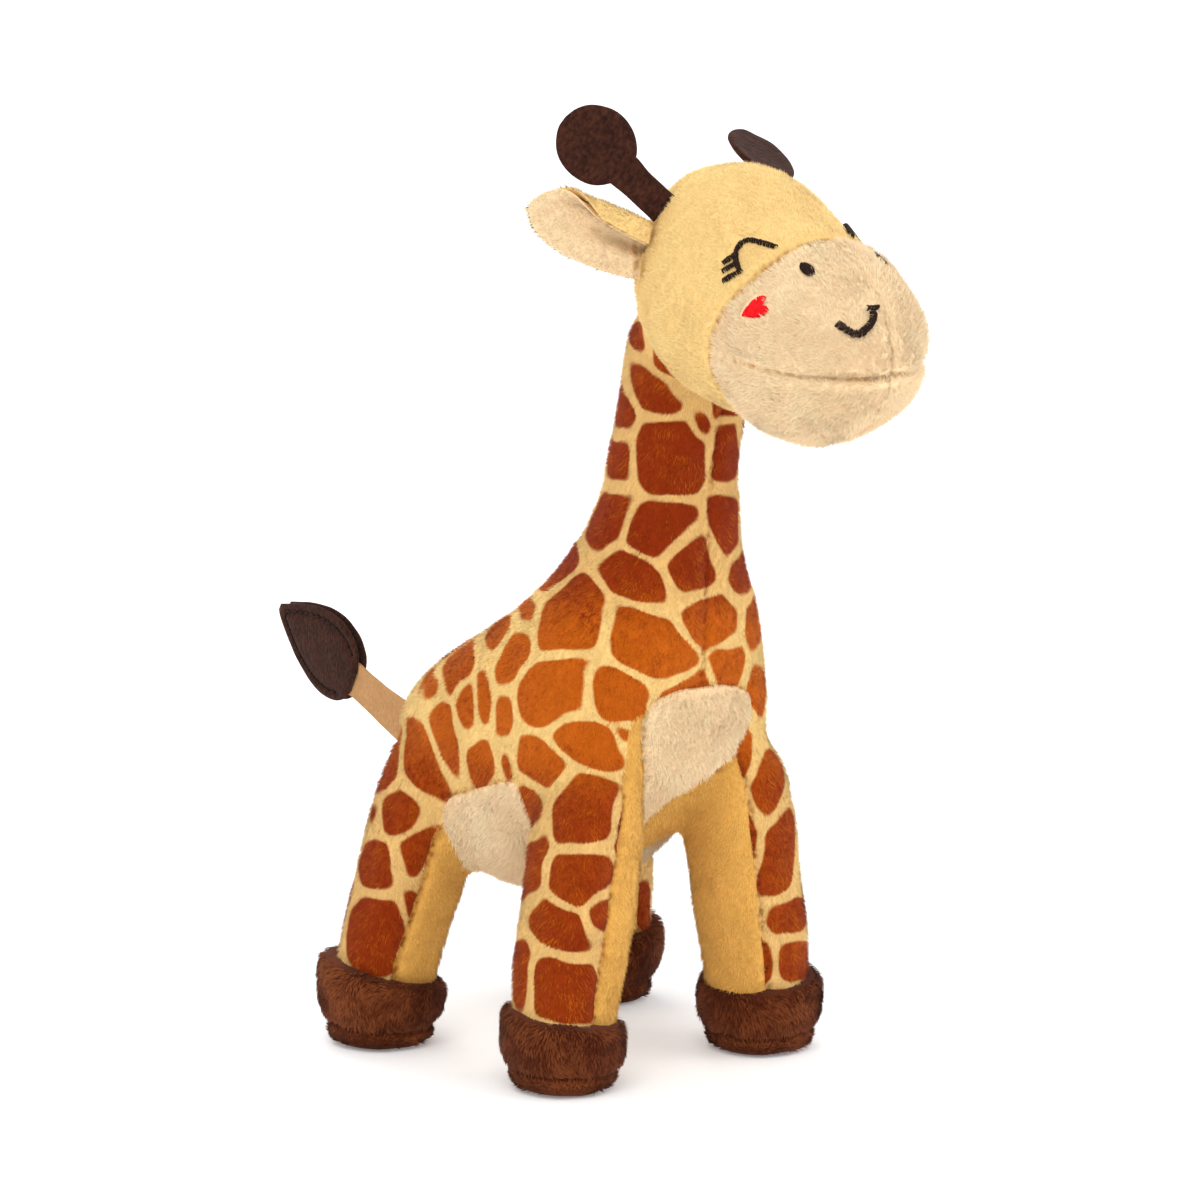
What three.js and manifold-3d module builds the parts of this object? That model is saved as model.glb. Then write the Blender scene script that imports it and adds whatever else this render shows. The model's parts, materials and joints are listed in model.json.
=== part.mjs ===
// A sewn plush giraffe, about 24 cm tall, that stands on four stuffed hooves.
// Millimetres. It faces -Y, its right side is -X, +Z is up, and Z = 0 is the floor under its soles.
import * as THREE from "three";
import { mergeVertices } from "three/addons/utils/BufferGeometryUtils.js";
import Module from "manifold-3d";

const wasm = await Module();
wasm.setup();

// Cloth and clearances
const CLOTH = 1.5; // plush fabric with its backing
const FELT = 1.6; // one layer of felt
const SEAM_GAP = 0.3; // between pieces that touch
const SLACK = 0.3; // between a stuffed part and the one it turns against

// Trunk and neck, seen in level slices from the belly to the top of the neck
const BELLY_LEVEL = 45;
const BARREL_LEVEL = 84;
const BARREL_HALF_WIDTH = 35.5;
const CHEST_Y = -45;
const RUMP_Y = 45.5;
const WITHERS_LEVEL = 117;
const WITHERS_HALF_WIDTH = 30;
const NECK_LEVEL = 157;
const NECK_HALF_WIDTH = 17.5;
const NECK_HALF_DEPTH = 15.8;
const NECK_Y = -34.5;
const NECK_TOP = { y: -42.5, z: 188 };
const NECK_BEND_LEVEL = 134;

// Chest and belly panel
const CHEST_PANEL_HALF_WIDTH = 18.5;
const CHEST_PANEL_TOP = 99;
const CHEST_PANEL_SHOULDER = 11; // height of its round top
const BELLY_SEAM_LEVEL = 68;
const BELLY_SEAM_DROP = 14; // from behind the front legs to the rump

// Legs
const HIP_LEVEL = 72;
const HIP_RADIUS = 15;
const HIP_FACE_X = 18; // the flat inner face that each leg turns against
const HIP_CENTRE_X = 26.5;
const FRONT_HIP_Y = -30.5;
const REAR_HIP_Y = 26;
const FRONT_HOOF = { x: 33, y: -31 };
const REAR_HOOF = { x: 37, y: 36.5 };
const ANKLE_LEVEL = 18;
const ANKLE_RADIUS = 12.8;
const LEG_SWING = 12; // degrees each way
const SWING_ROOM = 3; // degrees more than the swing that the trunk is cut clear of a leg
const OUTER_LEAN = 38; // degrees that the cut opens towards the chest and the rump
const FAN_DROP = 10; // how far the cut for a leg goes on under the floor
const LEG_SQUARENESS = 2.2;
const HOOF_SQUARENESS = 2.15;

// Hooves
const HOOF_RADIUS = 16;
const SOLE_SEAM_LEVEL = 5.5;
const SOLE_FLAT_RADIUS = 11.5;
const CUFF_ROUND = 3.6;
const PANEL_TUCK = 3; // how far the leg's cloth goes down into the hoof

// Head: a form round an axis that runs from the back of the skull to the snout
const SKULL = { y: -58.5, z: 205 };
const SKULL_RADIUS = 28;
const HEAD_TILT = 20; // degrees that the snout points down
const MUZZLE_SEAM = 25; // ahead of the skull's centre
const MUZZLE_SEAM_RADIUS = 25.3;
const MUZZLE_RADIUS = 25.2;
const MUZZLE_BULGE = 35; // where the muzzle is fullest
const HEAD_LENGTH_AHEAD = 61;
const CROWN_SEAM = -14; // the seam across the head that holds the ears and the horns
const MOUTH_RISE = 4.6; // of the mouth seam over the tip of the snout
const MOUTH_SLOPE = 0.1;
const HEAD_NOD = 15; // degrees each way
const NOD_ROOM = 6; // degrees more than the nod that the head is cut clear of the neck
const NECK_ROOM_DROP = 45; // how far down the cut for the neck goes

// Embroidery: places are ahead of the skull's centre, and in degrees round from the top of the head
const EYE = [[22, 27.4], [18.9, 30.8], [15.9, 34.1], [14.9, 38.7], [16.7, 44.4], [18.8, 48.6], [20.5, 50.6]];
const LASHES = [
  [[16.9, 44.8], [15.3, 53.4]],
  [[18.4, 47.8], [16.6, 56.8]],
  [[20.4, 50.2], [18.3, 60.3]],
];
const EYE_WIDTH = 1.3;
const LASH_WIDTH = 1;
const SMILE = [[49.5, 39.9], [51.6, 37.8], [53.2, 34], [53.5, 27.1], [52.8, 16.5], [51.2, 11]];
const SMILE_END = [[50.1, 16], [50.6, 10], [50.9, 4]];
const SMILE_WIDTH = 1.8;
const NOSTRIL = { ahead: 33.7, round: 27.7, long: 5, wide: 3.4, turn: 45 };
const HEART = { ahead: 30.7, round: 64, size: 6.2, turn: 126 };
const PATCH = 0.8; // thickness of the embroidered patches

// Ears, horns and tail
const EAR_LENGTH = 28;
const EAR_WIDTH = 17.5;
const EAR_ROOT_WIDTH = 14;
const EAR_ROUND = 76; // degrees round the head from the top
const HORN_LENGTH = 31.5;
const HORN_DISC_RADIUS = 9.6;
const HORN_STEM_WIDTH = 8.2;
const HORN_ROUND = 48;
const TAIL_LEVEL = 67;
const TAIL_LENGTH = 47;
const TAIL_WIDTH = 14;
const TAIL_TIP_WIDTH = 10.5;
const TAIL_RISE = 17; // degrees
const TUFT_LENGTH = 32;
const TUFT_WIDTH = 23;
const TUFT_TURN = 9; // degrees that the tuft turns up from the strip

// Squeaker inside the belly
const SQUEAKER_RADIUS = 14;
const SQUEAKER_HEIGHT = 17;
const SQUEAKER_WALL = 1.2;
const SQUEAKER_LEVEL = 70;
const REED_RADIUS = 4;
const REED_LENGTH = 7;
const REED_BORE = 0.4; // share of the reed's radius
const REED_NOSE = 0.7; // share of its radius at its inner end
const REED_DEPTH = 0.7; // share of its length that is bored

// Facets round each form
const TRUNK_SIDES = 24;
const LEG_SIDES = 14;
const HEAD_SIDES = 20;
const BALL_SIDES = 20;
const ARC_STEPS = 16;

const radians = THREE.MathUtils.degToRad;

function finish(colour, roughness) {
  return new THREE.MeshStandardMaterial({ color: colour, roughness, metalness: 0 });
}

const finishes = {
  print: finish(0xb5632a, 0.95),
  gold: finish(0xddaf5c, 0.95),
  yellow: finish(0xf3ce84, 0.95),
  cream: finish(0xead9b0, 0.95),
  brown: finish(0x6b4630, 0.95),
  darkFelt: finish(0x3b2420, 0.95),
  tanFelt: finish(0xb58f5f, 0.95),
  fibre: finish(0xf4f2ec, 1.0),
  thread: finish(0x2e1f20, 0.6),
  redThread: finish(0xe8101c, 0.6),
  plastic: finish(0xf2f0ea, 0.5),
};

// A three.js geometry as a solid that can be cut and joined
function solid(geometry) {
  const plain = geometry.clone();
  plain.deleteAttribute("normal");
  plain.deleteAttribute("uv");
  const merged = mergeVertices(plain, 1e-4);
  const index = merged.index.array;
  return new wasm.Manifold(
    new wasm.Mesh({
      numProp: 3,
      vertProperties: new Float32Array(merged.attributes.position.array),
      triVerts: new Uint32Array(index),
    }),
  );
}

// A cut solid as a flat-shaded three.js geometry
function geometryOf(cut) {
  const mesh = cut.getMesh();
  const geometry = new THREE.BufferGeometry();
  const places = new Float32Array(mesh.numVert * 3);
  for (let i = 0; i < mesh.numVert; i += 1) {
    for (let k = 0; k < 3; k += 1) {
      places[3 * i + k] = mesh.vertProperties[mesh.numProp * i + k];
    }
  }
  geometry.setAttribute("position", new THREE.BufferAttribute(places, 3));
  geometry.setIndex(Array.from(mesh.triVerts));
  const flat = geometry.toNonIndexed();
  flat.computeVertexNormals();
  return flat;
}

// Smooth values between the stations of a profile, level past its ends
function smoothCurve(stations) {
  return (at) => {
    const last = stations.length - 1;
    if (at <= stations[0][0]) return stations[0][1];
    if (at >= stations[last][0]) return stations[last][1];
    let i = 0;
    while (at > stations[i + 1][0]) i += 1;
    const [x0, y0] = stations[i];
    const [x1, y1] = stations[i + 1];
    const before = stations[Math.max(i - 1, 0)];
    const after = stations[Math.min(i + 2, last)];
    const step = x1 - x0;
    const slope0 = (y1 - before[1]) / (x1 - before[0]);
    const slope1 = (after[1] - y0) / (after[0] - x0);
    const t = (at - x0) / step;
    const t2 = t * t;
    const t3 = t2 * t;
    return (
      (2 * t3 - 3 * t2 + 1) * y0 +
      (t3 - 2 * t2 + t) * step * slope0 +
      (3 * t2 - 2 * t3) * y1 +
      (t3 - t2) * step * slope1
    );
  };
}

// Closes rings of points into a solid: each ring has the same count, and the ends are fans
function skinRings(rings) {
  const sides = rings[0].length;
  const places = [];
  const index = [];
  for (const ring of rings) {
    for (const p of ring) places.push(p.x, p.y, p.z);
  }
  for (let r = 0; r + 1 < rings.length; r += 1) {
    for (let i = 0; i < sides; i += 1) {
      const a = r * sides + i;
      const b = r * sides + ((i + 1) % sides);
      index.push(a, b, b + sides, a, b + sides, a + sides);
    }
  }
  const ends = [
    [rings[0], 0, true],
    [rings[rings.length - 1], (rings.length - 1) * sides, false],
  ];
  for (const [ring, first, backwards] of ends) {
    const middle = new THREE.Vector3();
    ring.forEach((p) => middle.add(p));
    middle.divideScalar(sides);
    const hub = places.length / 3;
    places.push(middle.x, middle.y, middle.z);
    for (let i = 0; i < sides; i += 1) {
      const a = first + i;
      const b = first + ((i + 1) % sides);
      if (backwards) index.push(hub, b, a);
      else index.push(hub, a, b);
    }
  }
  const geometry = new THREE.BufferGeometry();
  geometry.setAttribute("position", new THREE.Float32BufferAttribute(places, 3));
  geometry.setIndex(index);
  return solid(geometry);
}

// A level ring: squareness 2 is an ellipse, and more is nearer to a rounded box
function levelRing(level, centreX, centreY, halfX, halfY, squareness, sides) {
  const ring = [];
  for (let i = 0; i < sides; i += 1) {
    const turn = ((i + 0.5) / sides) * 2 * Math.PI;
    const c = Math.cos(turn);
    const s = Math.sin(turn);
    const reach = (Math.abs(c) ** squareness + Math.abs(s) ** squareness) ** (-1 / squareness);
    ring.push(new THREE.Vector3(centreX + halfX * c * reach, centreY + halfY * s * reach, level));
  }
  return ring;
}

// An outline in a plane, extruded: along X for [y, z] points, or along Y for [x, z] points
function prismAlongX(points, fromX, toX) {
  const shape = new THREE.Shape(points.map(([y, z]) => new THREE.Vector2(y, z)));
  const geometry = new THREE.ExtrudeGeometry(shape, { depth: toX - fromX, bevelEnabled: false });
  const place = new THREE.Matrix4().makeBasis(
    new THREE.Vector3(0, 1, 0),
    new THREE.Vector3(0, 0, 1),
    new THREE.Vector3(1, 0, 0),
  );
  geometry.applyMatrix4(place);
  geometry.translate(fromX, 0, 0);
  return solid(geometry);
}

function prismAlongY(points, fromY, toY) {
  const shape = new THREE.Shape(points.map(([x, z]) => new THREE.Vector2(x, z)));
  const geometry = new THREE.ExtrudeGeometry(shape, { depth: toY - fromY, bevelEnabled: false });
  const place = new THREE.Matrix4().makeBasis(
    new THREE.Vector3(1, 0, 0),
    new THREE.Vector3(0, 0, 1),
    new THREE.Vector3(0, -1, 0),
  );
  geometry.applyMatrix4(place);
  geometry.translate(0, toY, 0);
  return solid(geometry);
}

function box(minX, maxX, minY, maxY, minZ, maxZ) {
  const geometry = new THREE.BoxGeometry(maxX - minX, maxY - minY, maxZ - minZ);
  geometry.translate((minX + maxX) / 2, (minY + maxY) / 2, (minZ + maxZ) / 2);
  return solid(geometry);
}

// A ball for a joint, or the room that such a ball turns in, whose facets stay outside its radius
function ball(x, y, z, radius, room = false) {
  const flatness = Math.cos(Math.PI / BALL_SIDES);
  const reach = room ? radius / (flatness * flatness) : radius;
  const geometry = new THREE.SphereGeometry(reach, BALL_SIDES, BALL_SIDES / 2);
  geometry.rotateX(Math.PI / 2);
  geometry.translate(x, y, z);
  return solid(geometry);
}

// Far past the toy in every direction, for half-space cuts
const FAR = 400;

function keepRight(whole) {
  return whole.subtract(box(-SEAM_GAP / 2, FAR, -FAR, FAR, -FAR, FAR));
}

function keepLeft(whole) {
  return whole.subtract(box(-FAR, SEAM_GAP / 2, -FAR, FAR, -FAR, FAR));
}

// Trunk and neck
const neckBend = {};

function trunkProfile() {
  const middle = (CHEST_Y + RUMP_Y) / 2;
  const half = (RUMP_Y - CHEST_Y) / 2;
  const width = BARREL_HALF_WIDTH;
  const rise = BARREL_LEVEL - BELLY_LEVEL;
  const span = WITHERS_LEVEL - BARREL_LEVEL;
  const climb = NECK_LEVEL - WITHERS_LEVEL;
  const halfX = smoothCurve([
    [BELLY_LEVEL, width * 0.3],
    [BELLY_LEVEL + rise * 0.06, width * 0.5],
    [BELLY_LEVEL + rise * 0.3, width * 0.79],
    [BELLY_LEVEL + rise * 0.6, width * 0.94],
    [BARREL_LEVEL, width],
    [BARREL_LEVEL + span * 0.55, width * 0.94],
    [WITHERS_LEVEL, WITHERS_HALF_WIDTH],
    [WITHERS_LEVEL + climb * 0.33, NECK_HALF_WIDTH * 1.36],
    [WITHERS_LEVEL + climb * 0.68, NECK_HALF_WIDTH * 1.09],
    [NECK_LEVEL, NECK_HALF_WIDTH],
    [NECK_TOP.z, NECK_HALF_WIDTH * 0.9],
  ]);
  const front = smoothCurve([
    [BELLY_LEVEL, middle - half * 0.3],
    [BELLY_LEVEL + rise * 0.06, middle - half * 0.45],
    [BELLY_LEVEL + rise * 0.3, middle - half * 0.78],
    [BELLY_LEVEL + rise * 0.6, middle - half * 0.95],
    [BARREL_LEVEL, CHEST_Y],
    [BARREL_LEVEL + span * 0.55, CHEST_Y - 2.5],
    [WITHERS_LEVEL, CHEST_Y - 4],
    [WITHERS_LEVEL + climb * 0.33, CHEST_Y - 4.5],
    [WITHERS_LEVEL + climb * 0.68, NECK_Y - NECK_HALF_DEPTH * 0.98],
    [NECK_LEVEL, NECK_Y - NECK_HALF_DEPTH],
    [NECK_TOP.z, NECK_TOP.y - NECK_HALF_DEPTH * 0.95],
  ]);
  const rear = smoothCurve([
    [BELLY_LEVEL, middle + half * 0.3],
    [BELLY_LEVEL + rise * 0.06, middle + half * 0.5],
    [BELLY_LEVEL + rise * 0.3, middle + half * 0.86],
    [BELLY_LEVEL + rise * 0.6, middle + half * 0.98],
    [BARREL_LEVEL, RUMP_Y],
    [BARREL_LEVEL + span * 0.3, RUMP_Y - half * 0.14],
    [BARREL_LEVEL + span * 0.55, RUMP_Y - half * 0.37],
    [WITHERS_LEVEL, RUMP_Y - half * 0.85],
    [WITHERS_LEVEL + climb * 0.33, NECK_Y + NECK_HALF_DEPTH * 1.75],
    [WITHERS_LEVEL + climb * 0.68, NECK_Y + NECK_HALF_DEPTH * 1.06],
    [NECK_LEVEL, NECK_Y + NECK_HALF_DEPTH],
    [NECK_TOP.z, NECK_TOP.y + NECK_HALF_DEPTH * 0.95],
  ]);
  const squareness = smoothCurve([
    [BELLY_LEVEL, 2],
    [BARREL_LEVEL, 2.8],
    [BARREL_LEVEL + span * 0.55, 2.6],
    [WITHERS_LEVEL, 2.2],
    [NECK_LEVEL, 2],
  ]);
  return { halfX, front, rear, squareness };
}

const trunk = trunkProfile();

function trunkSolid(inset) {
  const rings = [];
  const levels = [];
  const belly = [0, 0.06, 0.3, 0.6, 1];
  const shoulder = [0.3, 0.55, 1];
  const climb = [0.2, 0.4, 0.68, 1];
  for (const share of belly) levels.push(BELLY_LEVEL + (BARREL_LEVEL - BELLY_LEVEL) * share);
  for (const share of shoulder) levels.push(BARREL_LEVEL + (WITHERS_LEVEL - BARREL_LEVEL) * share);
  for (const share of climb) levels.push(WITHERS_LEVEL + (NECK_LEVEL - WITHERS_LEVEL) * share);
  levels.push((NECK_LEVEL + NECK_TOP.z) / 2, NECK_TOP.z);
  for (const level of levels) {
    const front = trunk.front(level);
    const rear = trunk.rear(level);
    const raised = level === BELLY_LEVEL ? level + inset : level;
    rings.push(
      levelRing(
        raised,
        0,
        (front + rear) / 2,
        trunk.halfX(level) - inset,
        (rear - front) / 2 - inset,
        trunk.squareness(level),
        TRUNK_SIDES,
      ),
    );
  }
  return skinRings(rings);
}

const NECK_BALL_RADIUS = NECK_HALF_WIDTH * 0.97;
const neckBall = ball(0, NECK_TOP.y, NECK_TOP.z, NECK_BALL_RADIUS);
const neckBallCore = ball(0, NECK_TOP.y, NECK_TOP.z, NECK_BALL_RADIUS - CLOTH);
const trunkOuter = trunkSolid(0);
const trunkCore = trunkSolid(CLOTH + SEAM_GAP / 2);
const trunkLining = trunkSolid(CLOTH - SEAM_GAP / 2);

// The neck bends about a rounded seat as wide as the neck is there
neckBend.y = (trunk.front(NECK_BEND_LEVEL) + trunk.rear(NECK_BEND_LEVEL)) / 2;
neckBend.radius = 1.06 * Math.max(
  trunk.halfX(NECK_BEND_LEVEL),
  (trunk.rear(NECK_BEND_LEVEL) - trunk.front(NECK_BEND_LEVEL)) / 2,
);

function neckPart(whole) {
  const knuckle = ball(0, neckBend.y, NECK_BEND_LEVEL, neckBend.radius);
  const above = box(-FAR, FAR, -FAR, FAR, NECK_BEND_LEVEL, FAR);
  return whole.intersect(knuckle.add(above));
}

function trunkPart(whole) {
  const seat = ball(0, neckBend.y, NECK_BEND_LEVEL, neckBend.radius + SLACK, true);
  const above = box(-FAR, FAR, -FAR, FAR, NECK_BEND_LEVEL, FAR);
  return whole.subtract(seat).subtract(above);
}

// Legs: the trunk is cut clear of each leg over its whole swing
function hipFan(hipY, outward) {
  const radius = HIP_RADIUS + SLACK;
  const points = [];
  const inner = radians(LEG_SWING + SWING_ROOM);
  const outer = radians(OUTER_LEAN);
  const frontLean = outward < 0 ? outer : inner;
  const rearLean = outward < 0 ? inner : outer;
  const drop = HIP_LEVEL + FAN_DROP;
  const start = rearLean;
  const end = Math.PI - frontLean;
  for (let i = 0; i <= ARC_STEPS; i += 1) {
    const turn = start + ((end - start) * i) / ARC_STEPS;
    points.push([hipY + radius * Math.cos(turn), HIP_LEVEL + radius * Math.sin(turn)]);
  }
  const [frontY, frontZ] = points[points.length - 1];
  const [rearY, rearZ] = points[0];
  points.push([frontY - (drop - radius) * Math.tan(frontLean), frontZ - (drop - radius)]);
  points.push([rearY + (drop - radius) * Math.tan(rearLean), rearZ - (drop - radius)]);
  return points;
}

const hips = [
  { hipY: FRONT_HIP_Y, outward: -1 },
  { hipY: REAR_HIP_Y, outward: 1 },
];

function cutHips(whole) {
  const inside = HIP_FACE_X - SLACK;
  let cut = whole;
  for (const { hipY, outward } of hips) {
    const fan = hipFan(hipY, outward);
    cut = cut.subtract(prismAlongX(fan, inside, FAR));
    cut = cut.subtract(prismAlongX(fan, -FAR, -inside));
  }
  return cut;
}

// Chest and belly panel: a shield up the chest, and the underside between the legs
function underPanel(grow) {
  const half = CHEST_PANEL_HALF_WIDTH + grow;
  const shoulderLevel = CHEST_PANEL_TOP - CHEST_PANEL_SHOULDER + grow;
  const shield = [[-half, 0], [half, 0], [half, shoulderLevel]];
  const steps = 8;
  for (let i = 1; i <= steps; i += 1) {
    const turn = (Math.PI * i) / steps;
    const x = half * Math.cos(turn);
    shield.push([x, shoulderLevel + CHEST_PANEL_SHOULDER * Math.sin(turn)]);
  }
  const behindFrontLegs = FRONT_HIP_Y + HIP_RADIUS;
  const chest = prismAlongY(shield, -FAR, behindFrontLegs);
  const seamAtRump = BELLY_SEAM_LEVEL - BELLY_SEAM_DROP;
  const pastRump = RUMP_Y + HIP_RADIUS;
  const flank = [
    [behindFrontLegs - 1, 0],
    [pastRump, 0],
    [pastRump, seamAtRump + grow],
    [REAR_HIP_Y - HIP_RADIUS, BELLY_SEAM_LEVEL + grow],
    [behindFrontLegs - 1, BELLY_SEAM_LEVEL + grow],
  ];
  return chest.add(prismAlongX(flank, -FAR, FAR));
}

const pieces = [];

// Where each part turns on the one that carries it, kept with the group
const joints = [];

function frameAxis(frame) {
  return new THREE.Vector3().setFromMatrixColumn(frame, 0);
}

function piece(name, shape, material) {
  pieces.push({ name, geometry: geometryOf(shape), material });
}

function buildTrunk() {
  const shell = cutHips(trunkPart(trunkOuter.subtract(trunkLining)));
  const sides = shell.subtract(underPanel(SEAM_GAP));
  piece("side_panel_right", keepRight(sides), finishes.print);
  piece("side_panel_left", keepLeft(sides), finishes.print);
  piece("chest_belly_panel", shell.intersect(underPanel(0)), finishes.cream);
}

// The squeaker lies in the fibre, in the slot that it was pushed in through
function squeakerGeometry(radius, height) {
  const geometry = new THREE.CylinderGeometry(radius, radius, height, 24);
  geometry.rotateX(Math.PI / 2);
  geometry.translate(0, 0, SQUEAKER_LEVEL);
  return solid(geometry);
}

function buildStuffing() {
  const room = SQUEAKER_RADIUS + SLACK;
  const roomTop = SQUEAKER_LEVEL + SQUEAKER_HEIGHT / 2 + SLACK;
  const slot = box(-room, room, -room, room, 0, roomTop);
  piece("body_stuffing", cutHips(trunkPart(trunkCore)).subtract(slot), finishes.fibre);
  const outside = squeakerGeometry(SQUEAKER_RADIUS, SQUEAKER_HEIGHT);
  const boreHeight = SQUEAKER_HEIGHT - 2 * SQUEAKER_WALL;
  const bore = squeakerGeometry(SQUEAKER_RADIUS - SQUEAKER_WALL, boreHeight);
  const mouthRadius = REED_RADIUS + SLACK;
  const mouth = new THREE.CylinderGeometry(mouthRadius, mouthRadius, SQUEAKER_HEIGHT, ARC_STEPS);
  mouth.rotateX(Math.PI / 2);
  mouth.translate(0, 0, SQUEAKER_LEVEL + SQUEAKER_HEIGHT / 2 + SQUEAKER_WALL);
  piece("squeaker_bulb", outside.subtract(bore).subtract(solid(mouth)), finishes.plastic);
  const reedTop = SQUEAKER_LEVEL + SQUEAKER_HEIGHT / 2;
  const profile = [
    new THREE.Vector2(0, reedTop - REED_LENGTH),
    new THREE.Vector2(REED_RADIUS * REED_NOSE, reedTop - REED_LENGTH),
    new THREE.Vector2(REED_RADIUS, reedTop - REED_LENGTH * 0.4),
    new THREE.Vector2(REED_RADIUS, reedTop),
    new THREE.Vector2(REED_RADIUS * REED_BORE, reedTop),
    new THREE.Vector2(REED_RADIUS * REED_BORE, reedTop - REED_LENGTH * REED_DEPTH),
    new THREE.Vector2(0, reedTop - REED_LENGTH * REED_DEPTH),
  ];
  const reed = new THREE.LatheGeometry(profile, ARC_STEPS);
  reed.rotateX(Math.PI / 2);
  piece("squeaker_reed", solid(reed), finishes.plastic);
}

function buildNeck() {
  const shell = neckPart(trunkOuter.add(neckBall).subtract(trunkLining.add(neckBallCore)));
  piece("neck_panel_right", keepRight(shell), finishes.print);
  piece("neck_panel_left", keepLeft(shell), finishes.print);
  const core = ball(0, NECK_TOP.y, NECK_TOP.z, NECK_BALL_RADIUS - CLOTH - SEAM_GAP);
  piece("neck_stuffing", neckPart(trunkCore).add(core.intersect(aboveNeckBall())), finishes.fibre);
}

function aboveNeckBall() {
  return box(-FAR, FAR, -FAR, FAR, NECK_TOP.z - 1, FAR);
}

// One leg, with its hoof
function legProfile(front) {
  const hipY = front ? FRONT_HIP_Y : REAR_HIP_Y;
  const hoof = front ? FRONT_HOOF : REAR_HOOF;
  const top = HIP_LEVEL + HIP_RADIUS;
  const knee = (HIP_LEVEL + ANKLE_LEVEL) / 2;
  const thigh = (HIP_LEVEL + knee) / 2;
  const middleX = (HIP_CENTRE_X + hoof.x) / 2;
  const lean = hoof.y - hipY;
  return {
    top,
    x: smoothCurve([
      [0, hoof.x],
      [ANKLE_LEVEL, hoof.x],
      [knee, middleX + 1],
      [HIP_LEVEL, HIP_CENTRE_X],
      [top, HIP_CENTRE_X - 3],
    ]),
    y: smoothCurve([
      [0, hoof.y],
      [ANKLE_LEVEL, hipY + lean * 0.85],
      [knee, hipY + lean * 0.42],
      [HIP_LEVEL, hipY],
      [top, hipY],
    ]),
    halfX: smoothCurve([
      [0, ANKLE_RADIUS],
      [ANKLE_LEVEL, ANKLE_RADIUS],
      [knee, ANKLE_RADIUS * 1.05],
      [HIP_LEVEL, ANKLE_RADIUS * 1.09],
      [top, ANKLE_RADIUS * 0.98],
    ]),
    halfY: smoothCurve([
      [0, ANKLE_RADIUS],
      [ANKLE_LEVEL, ANKLE_RADIUS],
      [knee, ANKLE_RADIUS * 1.09],
      [thigh, HIP_RADIUS * 0.95],
      [HIP_LEVEL, HIP_RADIUS * 0.99],
      [top, HIP_RADIUS],
    ]),
    levels: [
      ANKLE_LEVEL,
      (ANKLE_LEVEL + knee) / 2,
      knee,
      thigh,
      HIP_LEVEL,
      HIP_LEVEL + HIP_RADIUS * 0.6,
    ],
    hipY,
    hoof,
  };
}

function legRing(leg, side, level, inset) {
  return levelRing(
    level,
    side * leg.x(level),
    leg.y(level),
    leg.halfX(level) - inset,
    leg.halfY(level) - inset,
    LEG_SQUARENESS,
    LEG_SIDES,
  );
}

function legSolid(leg, side, inset, bottom) {
  const levels = [bottom, ...leg.levels.filter((level) => level > bottom + 1), leg.top];
  return skinRings(levels.map((level) => legRing(leg, side, level, inset)));
}

// Keeps a leg inside its round hip
function roundHip(whole, leg, inset) {
  const radius = HIP_RADIUS - inset;
  const hip = new THREE.CylinderGeometry(radius, radius, 2 * FAR, 28);
  hip.rotateZ(Math.PI / 2);
  hip.translate(0, leg.hipY, HIP_LEVEL);
  const below = box(-FAR, FAR, -FAR, FAR, -FAR, HIP_LEVEL);
  return whole.intersect(solid(hip).add(below));
}

// Cuts a leg off at its flat hip face
function cutHipFace(whole, side) {
  const face = side * HIP_FACE_X;
  const inward = -side * FAR;
  return whole.subtract(box(Math.min(face, inward), Math.max(face, inward), -FAR, FAR, -FAR, FAR));
}

// A hoof: its radius at each height above the floor
function hoofRadius(level, inset) {
  const top = ANKLE_LEVEL + 1;
  const profile = smoothCurve([
    [0, SOLE_FLAT_RADIUS],
    [1.2, HOOF_RADIUS - 1.8],
    [SOLE_SEAM_LEVEL - 1.6, HOOF_RADIUS - 0.3],
    [SOLE_SEAM_LEVEL, HOOF_RADIUS - 0.9],
    [SOLE_SEAM_LEVEL + 2, HOOF_RADIUS],
    [top - CUFF_ROUND, HOOF_RADIUS - 0.4],
    [top - CUFF_ROUND * 0.35, HOOF_RADIUS - 1.5],
    [top, ANKLE_RADIUS + 1],
  ]);
  return profile(level) - inset;
}

function hoofSolid(leg, side, inset) {
  const top = ANKLE_LEVEL + 1;
  const levels = [
    0,
    1.2,
    SOLE_SEAM_LEVEL - 1.6,
    SOLE_SEAM_LEVEL,
    SOLE_SEAM_LEVEL + 2,
    top - CUFF_ROUND,
    top - CUFF_ROUND * 0.35,
    top,
  ];
  return skinRings(
    levels.map((level) => {
      const radius = hoofRadius(level, inset);
      const raised = level === 0 ? inset : Math.max(level, inset + 0.8);
      const place = Math.min(raised, top - inset * (level === top ? 1 : 0));
      const centreX = side * leg.hoof.x;
      return levelRing(place, centreX, leg.hoof.y, radius, radius * 1.02, HOOF_SQUARENESS, LEG_SIDES);
    }),
  );
}

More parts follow.
